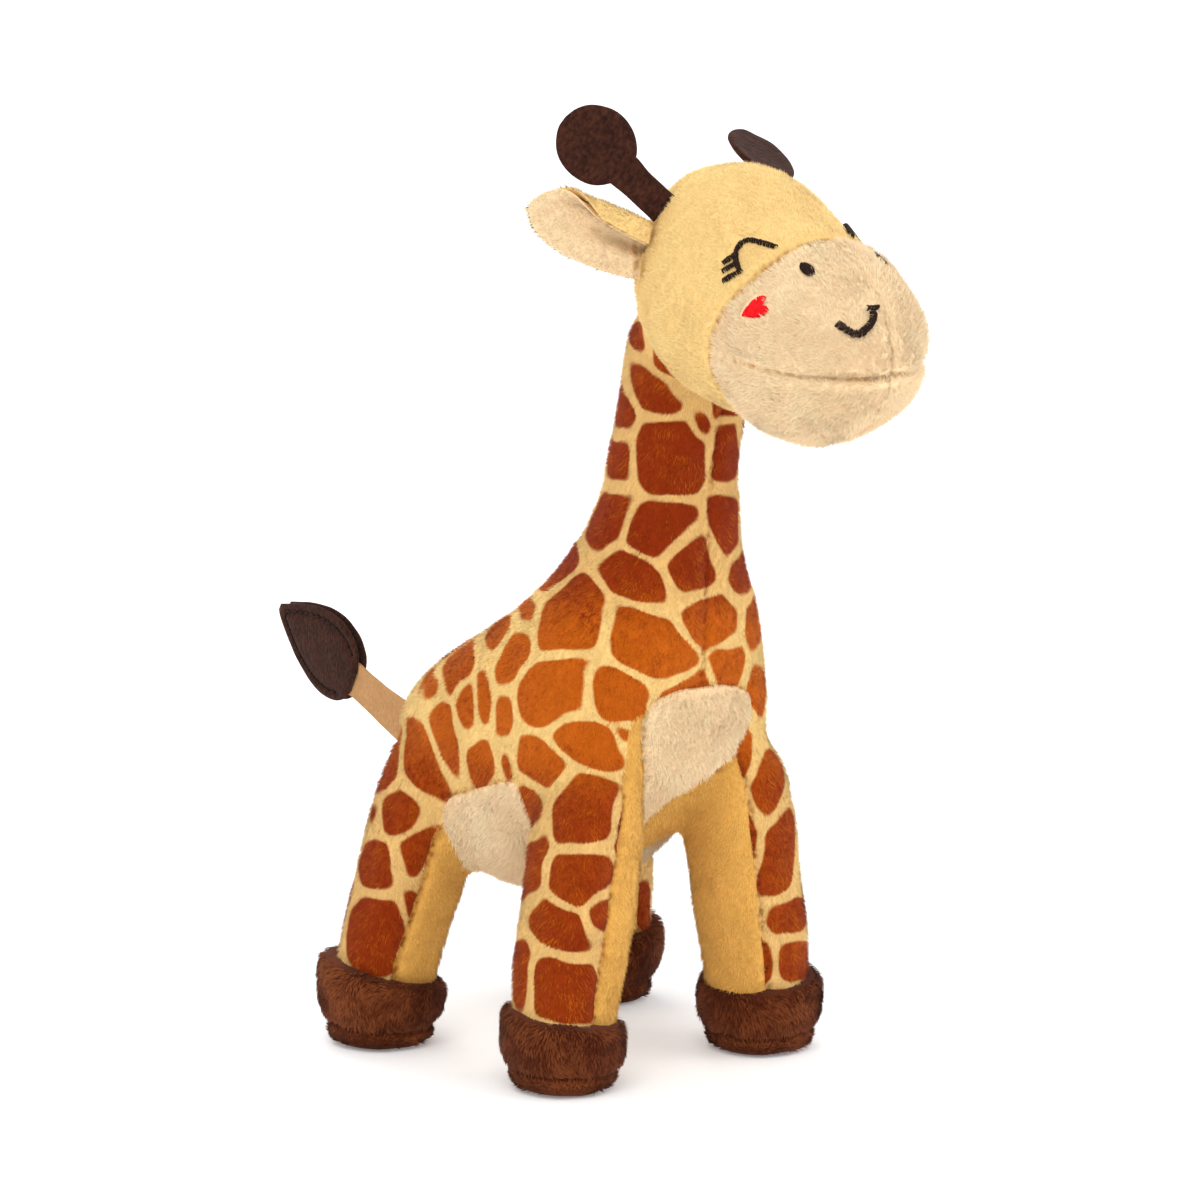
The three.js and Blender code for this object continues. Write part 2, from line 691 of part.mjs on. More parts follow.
function buildLeg(name, front, side) {
  const leg = legProfile(front);
  const hoofOuter = hoofSolid(leg, side, 0);
  const hoofLining = hoofSolid(leg, side, CLOTH);
  const hoofShell = hoofOuter.subtract(hoofLining);
  const legOuter = roundHip(legSolid(leg, side, 0, ANKLE_LEVEL - PANEL_TUCK), leg, 0);
  const legLining = roundHip(legSolid(leg, side, CLOTH, ANKLE_LEVEL - PANEL_TUCK - 1), leg, CLOTH);
  const ring = legSolid(leg, side, -SEAM_GAP, ANKLE_LEVEL - PANEL_TUCK - 1);
  const hoofSkin = hoofShell.subtract(ring);
  const seam = SEAM_GAP / 2;
  const wall = hoofSkin.subtract(box(-FAR, FAR, -FAR, FAR, -FAR, SOLE_SEAM_LEVEL + seam));
  const sole = hoofSkin.subtract(box(-FAR, FAR, -FAR, FAR, SOLE_SEAM_LEVEL - seam, FAR));
  piece("hoof_wall_" + name, wall, finishes.brown);
  piece("hoof_sole_" + name, sole, finishes.brown);

  // The outer panel carries the print, and the inner one is plain: they meet fore and aft
  const tube = cutHipFace(legOuter.subtract(legLining), side);
  const seamX = (grow) => {
    const points = [];
    const far = side * FAR;
    for (const level of [0, ANKLE_LEVEL, HIP_LEVEL, 2 * HIP_LEVEL]) {
      points.push([side * leg.x(level) + side * grow, level]);
    }
    points.push([far, 2 * HIP_LEVEL], [far, 0]);
    return prismAlongY(points.reverse(), -FAR, FAR);
  };
  piece("leg_outer_panel_" + name, tube.intersect(seamX(seam)), finishes.print);
  piece("leg_inner_panel_" + name, tube.subtract(seamX(-seam)), finishes.gold);

  const core = CLOTH + SEAM_GAP;
  const legCore = cutHipFace(roundHip(legSolid(leg, side, core, SOLE_SEAM_LEVEL), leg, core), side);
  const hoofTop = ANKLE_LEVEL - PANEL_TUCK - SEAM_GAP;
  const hoofCore = hoofSolid(leg, side, core).subtract(box(-FAR, FAR, -FAR, FAR, hoofTop, FAR));
  piece("leg_stuffing_" + name, legCore.add(hoofCore), finishes.fibre);
}

// Head: rings square to the axis from the back of the skull to the snout
const headAxis = new THREE.Vector3(0, -Math.cos(radians(HEAD_TILT)), -Math.sin(radians(HEAD_TILT)));
const headUp = new THREE.Vector3(0, -Math.sin(radians(HEAD_TILT)), Math.cos(radians(HEAD_TILT)));
const skullCentre = new THREE.Vector3(0, SKULL.y, SKULL.z);
const headRadius = smoothCurve([
  [-SKULL_RADIUS, 0],
  [-SKULL_RADIUS * 0.96, SKULL_RADIUS * 0.27],
  [-SKULL_RADIUS * 0.8, SKULL_RADIUS * 0.6],
  [-SKULL_RADIUS * 0.5, SKULL_RADIUS * 0.87],
  [0, SKULL_RADIUS],
  [MUZZLE_SEAM * 0.5, SKULL_RADIUS * 0.985],
  [MUZZLE_SEAM - 3, MUZZLE_SEAM_RADIUS + 0.6],
  [MUZZLE_SEAM, MUZZLE_SEAM_RADIUS - 0.4],
  [MUZZLE_SEAM + 3, MUZZLE_SEAM_RADIUS + 0.2],
  [MUZZLE_BULGE, MUZZLE_RADIUS],
  [MUZZLE_BULGE + MUZZLE_RADIUS * 0.5, MUZZLE_RADIUS * 0.87],
  [MUZZLE_BULGE + MUZZLE_RADIUS * 0.8, MUZZLE_RADIUS * 0.6],
  [HEAD_LENGTH_AHEAD - 1, MUZZLE_RADIUS * 0.27],
  [HEAD_LENGTH_AHEAD, 0],
]);

// A point over the head's cloth: ahead along the axis, round from the top to the right, and out
function onHead(ahead, round, out = 0) {
  const reach = headRadius(ahead);
  const slope = (headRadius(ahead + 0.2) - headRadius(ahead - 0.2)) / 0.4;
  const outward = headUp.clone().multiplyScalar(Math.cos(round));
  outward.x = -Math.sin(round);
  const normal = outward.clone().addScaledVector(headAxis, -slope).normalize();
  return skullCentre
    .clone()
    .addScaledVector(headAxis, ahead)
    .addScaledVector(outward, reach)
    .addScaledVector(normal, out);
}

// How far a point is outside the head's cloth
function overHead(point) {
  const from = point.clone().sub(skullCentre);
  const ahead = from.dot(headAxis);
  const slope = (headRadius(ahead + 0.2) - headRadius(ahead - 0.2)) / 0.4;
  const reach = from.addScaledVector(headAxis, -ahead).length();
  return (reach - headRadius(ahead)) / Math.hypot(1, slope);
}

// Lifts the seam edge of a sewn-on piece until its whole width clears the head
function seatOnHead(round, side, along, flat, width, rootRadius) {
  const edge = new THREE.Vector3().crossVectors(along, flat).normalize();
  const root = onHead(CROWN_SEAM, side * radians(round));
  const step = 0.05;
  const clear = () => {
    let least = Infinity;
    for (const share of [-0.5, -0.25, 0, 0.25, 0.5]) {
      least = Math.min(least, overHead(root.clone().addScaledVector(edge, width * share)));
    }
    return least;
  };
  const facetSag = SKULL_RADIUS * (1 - Math.cos(Math.PI / HEAD_SIDES));
  while (clear() < rootRadius + SEAM_GAP - facetSag) root.addScaledVector(along, step);
  return root;
}

function headSolid(inset) {
  const stations = [
    -SKULL_RADIUS + 0.6,
    -SKULL_RADIUS * 0.85,
    -SKULL_RADIUS * 0.66,
    -SKULL_RADIUS * 0.36,
    SKULL_RADIUS * 0.1,
    MUZZLE_SEAM * 0.6,
    MUZZLE_SEAM,
    MUZZLE_SEAM + 3.5,
    MUZZLE_BULGE + 2,
    MUZZLE_BULGE + MUZZLE_RADIUS * 0.5,
    MUZZLE_BULGE + MUZZLE_RADIUS * 0.8,
    HEAD_LENGTH_AHEAD - 1,
  ];
  const last = stations.length - 1;
  const rings = stations.map((station, k) => {
    const radius = Math.max(headRadius(station) - inset, 1);
    const ahead = k === 0 ? station + inset : k === last ? station - inset : station;
    const ring = [];
    for (let i = 0; i < HEAD_SIDES; i += 1) {
      const turn = ((i + 0.5) / HEAD_SIDES) * 2 * Math.PI;
      ring.push(
        skullCentre
          .clone()
          .addScaledVector(headAxis, ahead)
          .addScaledVector(headUp, radius * Math.cos(turn))
          .add(new THREE.Vector3(-radius * Math.sin(turn), 0, 0)),
      );
    }
    return ring;
  });
  return skinRings(rings);
}

// A half space ahead of a station on the head's axis
function aheadOf(station) {
  const geometry = new THREE.BoxGeometry(FAR, FAR, FAR);
  geometry.translate(0, 0, FAR / 2);
  const across = new THREE.Vector3().crossVectors(headUp, headAxis);
  const place = new THREE.Matrix4().makeBasis(across, headUp, headAxis);
  place.setPosition(skullCentre.clone().addScaledVector(headAxis, station));
  geometry.applyMatrix4(place);
  return solid(geometry);
}

// Room in the head for the neck's round top, over the whole nod
function neckRoom() {
  const radius = NECK_BALL_RADIUS + SLACK;
  const lean = radians(HEAD_NOD + NOD_ROOM);
  const fan = [];
  const steps = 10;
  for (let i = 0; i <= steps; i += 1) {
    const turn = lean + ((Math.PI - 2 * lean) * i) / steps;
    fan.push([NECK_TOP.y + radius * Math.cos(turn), NECK_TOP.z + radius * Math.sin(turn)]);
  }
  const spread = radius + NECK_ROOM_DROP * Math.tan(lean);
  fan.push([NECK_TOP.y - spread, NECK_TOP.z - NECK_ROOM_DROP]);
  fan.push([NECK_TOP.y + spread, NECK_TOP.z - NECK_ROOM_DROP]);
  const half = NECK_HALF_WIDTH + 2 * SLACK;
  const below = box(-FAR, FAR, -FAR, FAR, -FAR, NECK_TOP.z);
  const column = prismAlongX(fan, -half, half).intersect(below);
  return column.add(ball(0, NECK_TOP.y, NECK_TOP.z, radius, true));
}

function buildHead() {
  const room = neckRoom();
  const shell = headSolid(0).subtract(headSolid(CLOTH)).subtract(room);
  const seam = SEAM_GAP / 2;
  const back = shell.subtract(aheadOf(CROWN_SEAM - seam));
  piece("head_back_right", keepRight(back), finishes.yellow);
  piece("head_back_left", keepLeft(back), finishes.yellow);
  const face = shell.intersect(aheadOf(CROWN_SEAM + seam)).subtract(aheadOf(MUZZLE_SEAM - seam));
  piece("head_face", face, finishes.yellow);

  // The mouth seam runs level round the snout, and the lips meet at it
  const muzzle = shell.intersect(aheadOf(MUZZLE_SEAM + seam));
  const mouth = onHead(HEAD_LENGTH_AHEAD, 0).addScaledVector(headUp, MOUTH_RISE);
  const wedge = (shift) => [
    [mouth.y - 20, mouth.z - 20 * MOUTH_SLOPE + shift],
    [mouth.y + 70, mouth.z + 70 * MOUTH_SLOPE + shift],
    [mouth.y + 70, mouth.z + 100],
    [mouth.y - 20, mouth.z + 100],
  ];
  const upper = muzzle.intersect(prismAlongX(wedge(seam), -FAR, FAR));
  const lower = muzzle.subtract(prismAlongX(wedge(-seam), -FAR, FAR));
  piece("muzzle_right", keepRight(upper), finishes.cream);
  piece("muzzle_left", keepLeft(upper), finishes.cream);
  piece("jaw_right", keepRight(lower), finishes.cream);
  piece("jaw_left", keepLeft(lower), finishes.cream);
  piece("head_stuffing", headSolid(CLOTH + SEAM_GAP).subtract(neckRoom()), finishes.fibre);
}

// Embroidery: satin-stitched cords and flat patches that lie on the cloth
function stitchedLine(points, width) {
  const path = new THREE.CatmullRomCurve3(points);
  const outline = new THREE.Shape();
  outline.absarc(0, 0, width / 2, 0, 2 * Math.PI);
  const geometry = new THREE.ExtrudeGeometry(outline, {
    extrudePath: path,
    steps: 2 * points.length,
    curveSegments: 3,
  });
  return solid(geometry);
}

function facePoints(side, list, width) {
  const out = SEAM_GAP + width / 2;
  return list.map(([ahead, round]) => onHead(ahead, side * radians(round), out));
}

function patchFrame(ahead, round) {
  const centre = onHead(ahead, round, SEAM_GAP);
  const nearby = onHead(ahead + 0.5, round, SEAM_GAP).sub(onHead(ahead - 0.5, round, SEAM_GAP)).normalize();
  const beside = onHead(ahead, round + 0.02, SEAM_GAP).sub(onHead(ahead, round - 0.02, SEAM_GAP)).normalize();
  const out = new THREE.Vector3().crossVectors(beside, nearby).normalize();
  if (out.dot(centre.clone().sub(skullCentre)) < 0) out.negate();
  const up = nearby.clone().negate();
  const across = new THREE.Vector3().crossVectors(up, out);
  return new THREE.Matrix4().makeBasis(across, up, out).setPosition(centre);
}

function heartShape(size) {
  const shape = new THREE.Shape();
  const h = size / 2;
  shape.moveTo(0, -h);
  shape.bezierCurveTo(-h * 0.5, -h * 0.45, -h * 1.05, -h * 0.05, -h, h * 0.5);
  shape.bezierCurveTo(-h * 0.95, h * 1.05, -h * 0.2, h * 1.1, 0, h * 0.5);
  shape.bezierCurveTo(h * 0.2, h * 1.1, h * 0.95, h * 1.05, h, h * 0.5);
  shape.bezierCurveTo(h * 1.05, -h * 0.05, h * 0.5, -h * 0.45, 0, -h);
  return shape;
}

function buildFace() {
  for (const [name, side] of [["right", 1], ["left", -1]]) {
    let eye = stitchedLine(facePoints(side, EYE, EYE_WIDTH), EYE_WIDTH);
    for (const lash of LASHES) {
      eye = eye.add(stitchedLine(facePoints(side, lash, LASH_WIDTH), LASH_WIDTH));
    }
    piece("eye_" + name, eye, finishes.thread);
    const oval = new THREE.Shape();
    const lean = -side * radians(NOSTRIL.turn);
    oval.absellipse(0, 0, NOSTRIL.wide / 2, NOSTRIL.long / 2, 0, 2 * Math.PI, false, lean);
    const nostril = new THREE.ExtrudeGeometry(oval, { depth: PATCH, bevelEnabled: false, curveSegments: 12 });
    nostril.applyMatrix4(patchFrame(NOSTRIL.ahead, side * radians(NOSTRIL.round)));
    piece("nostril_" + name, solid(nostril), finishes.thread);
    const heart = new THREE.ExtrudeGeometry(heartShape(HEART.size), {
      depth: PATCH,
      bevelEnabled: false,
      curveSegments: 4,
    });
    heart.rotateZ(-side * radians(HEART.turn));
    heart.applyMatrix4(patchFrame(HEART.ahead, side * radians(HEART.round)));
    piece("cheek_heart_" + name, solid(heart), finishes.redThread);
  }
  const smile = stitchedLine(facePoints(1, SMILE, SMILE_WIDTH), SMILE_WIDTH);
  const end = stitchedLine(facePoints(1, SMILE_END, SMILE_WIDTH), SMILE_WIDTH);
  piece("smile", smile.add(end), finishes.thread);
}

// Sewn-on flat pieces: a frame whose Y runs out from the seam and whose Z is square to the cloth
function rootFrame(root, along, flat) {
  const across = new THREE.Vector3().crossVectors(along, flat).normalize();
  const square = new THREE.Vector3().crossVectors(across, along).normalize();
  return new THREE.Matrix4().makeBasis(across, along.clone().normalize(), square).setPosition(root);
}

// Extrudes an outline and rounds its root, so that it can bend about the seam
function sewnFlap(shape, thickness, rootWidth, rootRadius, from, steps) {
  const flap = new THREE.ExtrudeGeometry(shape, {
    depth: thickness,
    bevelEnabled: false,
    curveSegments: steps,
  });
  flap.translate(0, 0, from);
  const roll = new THREE.CylinderGeometry(rootRadius, rootRadius, rootWidth * 3, 16);
  roll.rotateZ(Math.PI / 2);
  const beyond = box(-FAR, FAR, 0, FAR, -FAR, FAR);
  return solid(flap).intersect(solid(roll).add(beyond));
}

function placed(cut, matrix) {
  return cut.transform(matrix.elements);
}

// How each ear and horn lies: the way out from its seam, and the way that its face looks
const lies = {
  right: {
    ear: [new THREE.Vector3(-0.66, 0.66, 0.35), new THREE.Vector3(-0.64, -0.74, 0.2)],
    horn: [new THREE.Vector3(-0.46, 0.58, 0.67), new THREE.Vector3(-0.64, -0.74, 0.2)],
  },
  left: {
    ear: [new THREE.Vector3(0.72, 0.68, -0.1), new THREE.Vector3(0.62, -0.76, 0.2)],
    horn: [new THREE.Vector3(0.557, 0.785, 0.274), new THREE.Vector3(0.424, -0.552, 0.717)],
  },
};

function earShape() {
  const half = EAR_WIDTH / 2;
  const root = EAR_ROOT_WIDTH / 2;
  const shape = new THREE.Shape();
  shape.moveTo(-root, -3);
  shape.lineTo(root, -3);
  shape.bezierCurveTo(root + 1, EAR_LENGTH * 0.1, half * 1.15, EAR_LENGTH * 0.25, half, EAR_LENGTH * 0.55);
  shape.bezierCurveTo(half * 0.8, EAR_LENGTH * 0.9, root * 0.7, EAR_LENGTH, 0, EAR_LENGTH);
  shape.bezierCurveTo(-root * 0.7, EAR_LENGTH, -half * 0.8, EAR_LENGTH * 0.9, -half, EAR_LENGTH * 0.55);
  shape.bezierCurveTo(-half * 1.15, EAR_LENGTH * 0.25, -root - 1, EAR_LENGTH * 0.1, -root, -3);
  return shape;
}

function hornShape() {
  const stem = HORN_STEM_WIDTH / 2;
  const centre = HORN_LENGTH - HORN_DISC_RADIUS;
  const meet = Math.asin((stem * 1.05) / HORN_DISC_RADIUS);
  const shape = new THREE.Shape();
  shape.moveTo(-stem, -3);
  shape.lineTo(stem, -3);
  shape.lineTo(stem, centre - HORN_DISC_RADIUS * 1.25);
  shape.absarc(0, centre, HORN_DISC_RADIUS, -Math.PI / 2 + meet, 1.5 * Math.PI - meet, false);
  shape.lineTo(-stem, centre - HORN_DISC_RADIUS * 1.25);
  shape.lineTo(-stem, -3);
  return shape;
}

function buildEarsAndHorns() {
  for (const [name, side] of [["right", 1], ["left", -1]]) {
    const rootRadius = CLOTH + SEAM_GAP / 2;
    const [along, flat] = lies[name].ear.map((way) => way.normalize());
    const root = seatOnHead(EAR_ROUND, side, along, flat, EAR_ROOT_WIDTH, rootRadius);
    const frame = rootFrame(root, along, flat);
    const front = sewnFlap(earShape(), CLOTH, EAR_ROOT_WIDTH, rootRadius, SEAM_GAP / 2, 6);
    const back = sewnFlap(earShape(), CLOTH, EAR_ROOT_WIDTH, rootRadius, -CLOTH - SEAM_GAP / 2, 6);
    piece("ear_front_" + name, placed(front, frame), finishes.cream);
    piece("ear_back_" + name, placed(back, frame), finishes.yellow);

    const [hornAlong, hornFlat] = lies[name].horn.map((way) => way.normalize());
    const hornRoot = seatOnHead(HORN_ROUND, side, hornAlong, hornFlat, HORN_STEM_WIDTH, FELT / 2);
    const hornFrame = rootFrame(hornRoot, hornAlong, hornFlat);
    const horn = sewnFlap(hornShape(), FELT, HORN_STEM_WIDTH, FELT / 2, -FELT / 2, 12);
    piece("horn_" + name, placed(horn, hornFrame), finishes.darkFelt);
    joints.push({ name: "ear_" + name, at: root, axis: frameAxis(frame) });
    joints.push({ name: "horn_" + name, at: hornRoot, axis: frameAxis(hornFrame) });
  }
}

// Tail: a felt strip in the middle plane, with a leaf of two felt layers round its end
function tailShape(rise) {
  const length = TAIL_LENGTH + TUFT_LENGTH / 5;
  const end = length * Math.cos(rise);
  const climb = length * Math.sin(rise);
  const shape = new THREE.Shape();
  shape.moveTo(-TAIL_WIDTH / 2, -FELT);
  shape.lineTo(TAIL_WIDTH / 2, -FELT);
  shape.lineTo(TAIL_WIDTH / 2, 0);
  shape.lineTo(climb + TAIL_TIP_WIDTH / 2, end);
  shape.lineTo(climb - TAIL_TIP_WIDTH / 2, end);
  shape.lineTo(-TAIL_WIDTH / 2, 0);
  shape.lineTo(-TAIL_WIDTH / 2, -FELT);
  return shape;
}

function tuftShape() {
  const half = TUFT_WIDTH / 2;
  const long = TUFT_LENGTH;
  const shape = new THREE.Shape();
  shape.moveTo(0, 0);
  shape.bezierCurveTo(half * 0.8, 0, half * 1.1, long * 0.2, half, long * 0.45);
  shape.bezierCurveTo(half * 0.85, long * 0.75, half * 0.3, long * 0.9, 0, long);
  shape.bezierCurveTo(-half * 0.3, long * 0.9, -half * 0.85, long * 0.75, -half, long * 0.45);
  shape.bezierCurveTo(-half * 1.1, long * 0.2, -half * 0.8, 0, 0, 0);
  return shape;
}

function buildTail() {
  const low = trunk.rear(TAIL_LEVEL - TAIL_WIDTH / 2);
  const high = trunk.rear(TAIL_LEVEL + TAIL_WIDTH / 2);
  const lean = Math.atan2(high - low, TAIL_WIDTH);
  const out = new THREE.Vector3(0, Math.cos(lean), -Math.sin(lean));
  const root = new THREE.Vector3(0, trunk.rear(TAIL_LEVEL), TAIL_LEVEL);
  root.addScaledVector(out, FELT / 2 + SEAM_GAP);
  const frame = rootFrame(root, out, new THREE.Vector3(-1, 0, 0));
  const rise = lean + radians(TAIL_RISE);
  joints.push({ name: "tail", at: root, axis: frameAxis(frame) });
  const strip = sewnFlap(tailShape(rise), FELT, TAIL_WIDTH, FELT / 2, -FELT / 2, 4);
  piece("tail_strip", placed(strip, frame), finishes.tanFelt);
  for (const [name, side] of [["right", 1], ["left", -1]]) {
    const leaf = new THREE.ExtrudeGeometry(tuftShape(), {
      depth: FELT,
      bevelEnabled: false,
      curveSegments: 6,
    });
    leaf.translate(0, 0, -FELT / 2);
    leaf.rotateZ(-rise - radians(TUFT_TURN));
    leaf.translate(TAIL_LENGTH * Math.sin(rise), TAIL_LENGTH * Math.cos(rise), side * (FELT + SEAM_GAP));
    piece("tail_tuft_" + name, placed(solid(leaf), frame), finishes.darkFelt);
  }
}

buildTrunk();
buildStuffing();
buildNeck();
buildLeg("front_right", true, -1);
buildLeg("front_left", true, 1);
buildLeg("rear_right", false, -1);
buildLeg("rear_left", false, 1);
buildHead();
buildFace();
buildEarsAndHorns();
buildTail();

const giraffe = new THREE.Group();
for (const { name, geometry, material } of pieces) {
  const mesh = new THREE.Mesh(geometry, material);
  mesh.name = name;
  giraffe.add(mesh);
}

const level = new THREE.Vector3(1, 0, 0);
const levelJoints = [
  ["hips_front", FRONT_HIP_Y, HIP_LEVEL],
  ["hips_rear", REAR_HIP_Y, HIP_LEVEL],
  ["neck", neckBend.y, NECK_BEND_LEVEL],
  ["head", NECK_TOP.y, NECK_TOP.z],
];
for (const [name, y, z] of levelJoints) {
  joints.push({ name, at: new THREE.Vector3(0, y, z), axis: level });
}
giraffe.userData.joints = joints;

export default giraffe;
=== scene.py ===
"""A sewn plush giraffe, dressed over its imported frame.

Lengths are in millimetres until a mesh is made, and then in metres. The giraffe
faces -Y, its right side is -X, and the floor is at Z = 0.
"""

import json
import logging
import math
import sys
from dataclasses import dataclass, field
from enum import Enum

import bpy
import numpy as np
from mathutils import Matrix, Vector
from mathutils.bvhtree import BVHTree

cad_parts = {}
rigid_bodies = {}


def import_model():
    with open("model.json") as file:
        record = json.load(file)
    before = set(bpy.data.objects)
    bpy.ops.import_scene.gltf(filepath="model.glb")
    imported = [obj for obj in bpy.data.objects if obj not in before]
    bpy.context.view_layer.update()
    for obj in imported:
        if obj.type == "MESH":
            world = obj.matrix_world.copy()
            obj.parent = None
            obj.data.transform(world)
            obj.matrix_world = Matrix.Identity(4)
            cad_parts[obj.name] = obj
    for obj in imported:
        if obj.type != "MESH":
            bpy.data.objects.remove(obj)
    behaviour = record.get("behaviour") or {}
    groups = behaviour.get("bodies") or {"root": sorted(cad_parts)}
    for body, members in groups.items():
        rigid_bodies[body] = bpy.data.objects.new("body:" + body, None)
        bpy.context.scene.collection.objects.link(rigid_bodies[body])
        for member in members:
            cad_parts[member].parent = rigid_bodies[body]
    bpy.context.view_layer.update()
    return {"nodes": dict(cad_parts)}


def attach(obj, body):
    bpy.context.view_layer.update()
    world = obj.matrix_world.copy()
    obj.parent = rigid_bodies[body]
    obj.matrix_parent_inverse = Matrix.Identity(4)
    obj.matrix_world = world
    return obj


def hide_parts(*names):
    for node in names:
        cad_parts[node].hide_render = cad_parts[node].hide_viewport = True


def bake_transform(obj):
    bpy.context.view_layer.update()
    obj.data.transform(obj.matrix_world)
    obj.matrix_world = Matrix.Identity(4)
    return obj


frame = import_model()

MM = 0.001
Array = np.ndarray
Colour = tuple[float, float, float, float]
log = logging.getLogger("giraffe")


# ---------------------------------------------------------------- numbers
@dataclass(frozen=True)
class Curve:
    """A smooth curve through (place, value) stations."""

    stations: tuple[tuple[float, float], ...]

    @classmethod
    def over(cls, places: list[float], values: list[float]) -> "Curve":
        """A curve from its places and their values."""
        return cls(tuple(zip(places, values, strict=True)))

    def __call__(self, at: Array) -> Array:
        """The value at each place, held level past both ends."""
        x = np.array([s[0] for s in self.stations], float)
        y = np.array([s[1] for s in self.stations], float)
        slope = np.empty_like(y)
        slope[0] = (y[1] - y[0]) / (x[1] - x[0])
        slope[-1] = (y[-1] - y[-2]) / (x[-1] - x[-2])
        slope[1:-1] = (y[2:] - y[:-2]) / (x[2:] - x[:-2])
        at = np.clip(np.asarray(at, float), x[0], x[-1])
        i = np.clip(np.searchsorted(x, at) - 1, 0, len(x) - 2)
        step = x[i + 1] - x[i]
        t = (at - x[i]) / step
        return (
            (2 * t**3 - 3 * t**2 + 1) * y[i]
            + (t**3 - 2 * t**2 + t) * step * slope[i]
            + (3 * t**2 - 2 * t**3) * y[i + 1]
            + (t**3 - t**2) * step * slope[i + 1]
        )


def unit(v: Array) -> Array:
    """Vectors of length one."""
    return v / np.maximum(np.linalg.norm(v, axis=-1, keepdims=True), 1e-9)


def smooth_step(low: float, high: float, at: Array) -> Array:
    """0 below low, 1 above high, and smooth between."""
    t = np.clip((at - low) / (high - low), 0, 1)
    return t * t * (3 - 2 * t)


def bell(far: Array, width: float) -> Array:
    """1 at no distance, and smoothly down to 0 past the width."""
    return np.exp(-((far / width) ** 2))


def noise(points: Array, size: float, seed: int) -> Array:
    """Smooth value noise from 0 to 1.

    Args:
        points: places, in millimetres.
        size: width of one cell, in millimetres.
        seed: which noise.

    Returns:
        One value a point.
    """
    q = points / size + 311.7
    cell = np.floor(q).astype(np.int64)
    f = q - cell
    f = f * f * (3 - 2 * f)
    total = np.zeros(len(points))
    for corner in range(8):
        step = np.array([corner & 1, corner >> 1 & 1, corner >> 2 & 1])
        c = cell + step
        h = c[:, 0] * 374761393 + c[:, 1] * 668265263 + c[:, 2] * 1274126177
        h = (h + seed * 974634777) & 0xFFFFFFFF
        h = ((h ^ (h >> 13)) * 1103515245) & 0xFFFFFFFF
        h = ((h ^ (h >> 16)) * 2654435761) & 0xFFFFFFFF
        weight = np.prod(np.where(step, f, 1 - f), axis=1)
        total += weight * ((h >> 8) & 0xFFFF) / 65535
    return total


# ---------------------------------------------------------------- camera
@dataclass(frozen=True)
class Photographer:
    """The camera, at the photograph's viewing angle."""

    azimuth: float = -40.8
    elevation: float = 11.4
    distance: float = 2500.0
    target: tuple[float, float, float] = (0.0, 0.0, 120.0)
    scale: float = 0.2533
    centre: tuple[float, float] = (582.1, 584.4)
    frame: float = 1200.0

    def axes(self) -> tuple[Array, Array, Array]:
        """The picture's right, its up, and the way back to the camera."""
        a, e = math.radians(self.azimuth), math.radians(self.elevation)
        back = np.array([math.sin(a) * math.cos(e), -math.cos(a) * math.cos(e), math.sin(e)])
        right = np.array([math.cos(a), math.sin(a), 0.0])
        return right, np.cross(back, right), back

    def shoot(self) -> None:
        """Makes the camera and the scene use it."""
        right, up, back = self.axes()
        half = self.frame / 2
        aim = np.array(self.target)
        aim = aim + right * (half - self.centre[0]) * self.scale + up * (self.centre[1] - half) * self.scale
        data = bpy.data.cameras.new("camera")
        data.sensor_width = 36.0
        data.lens = 36.0 * self.distance / (self.scale * self.frame)
        data.clip_start = 0.1
        data.clip_end = 50.0
        camera = bpy.data.objects.new("camera", data)
        place = aim + back * self.distance
        camera.location = Vector(place * MM)
        camera.rotation_euler = Vector(-back).to_track_quat("-Z", "Y").to_euler()
        bpy.context.scene.collection.objects.link(camera)
        bpy.context.scene.camera = camera

    def ray(self, x: float, y: float) -> tuple[Array, Array]:
        """Where a ray through a place in the picture starts, and its direction."""
        right, up, back = self.axes()
        eye = np.array(self.target) + back * self.distance
        way = -back * self.distance + right * (x - self.centre[0]) * self.scale
        way = way + up * (self.centre[1] - y) * self.scale
        return eye, unit(way)


CAMERA = Photographer()


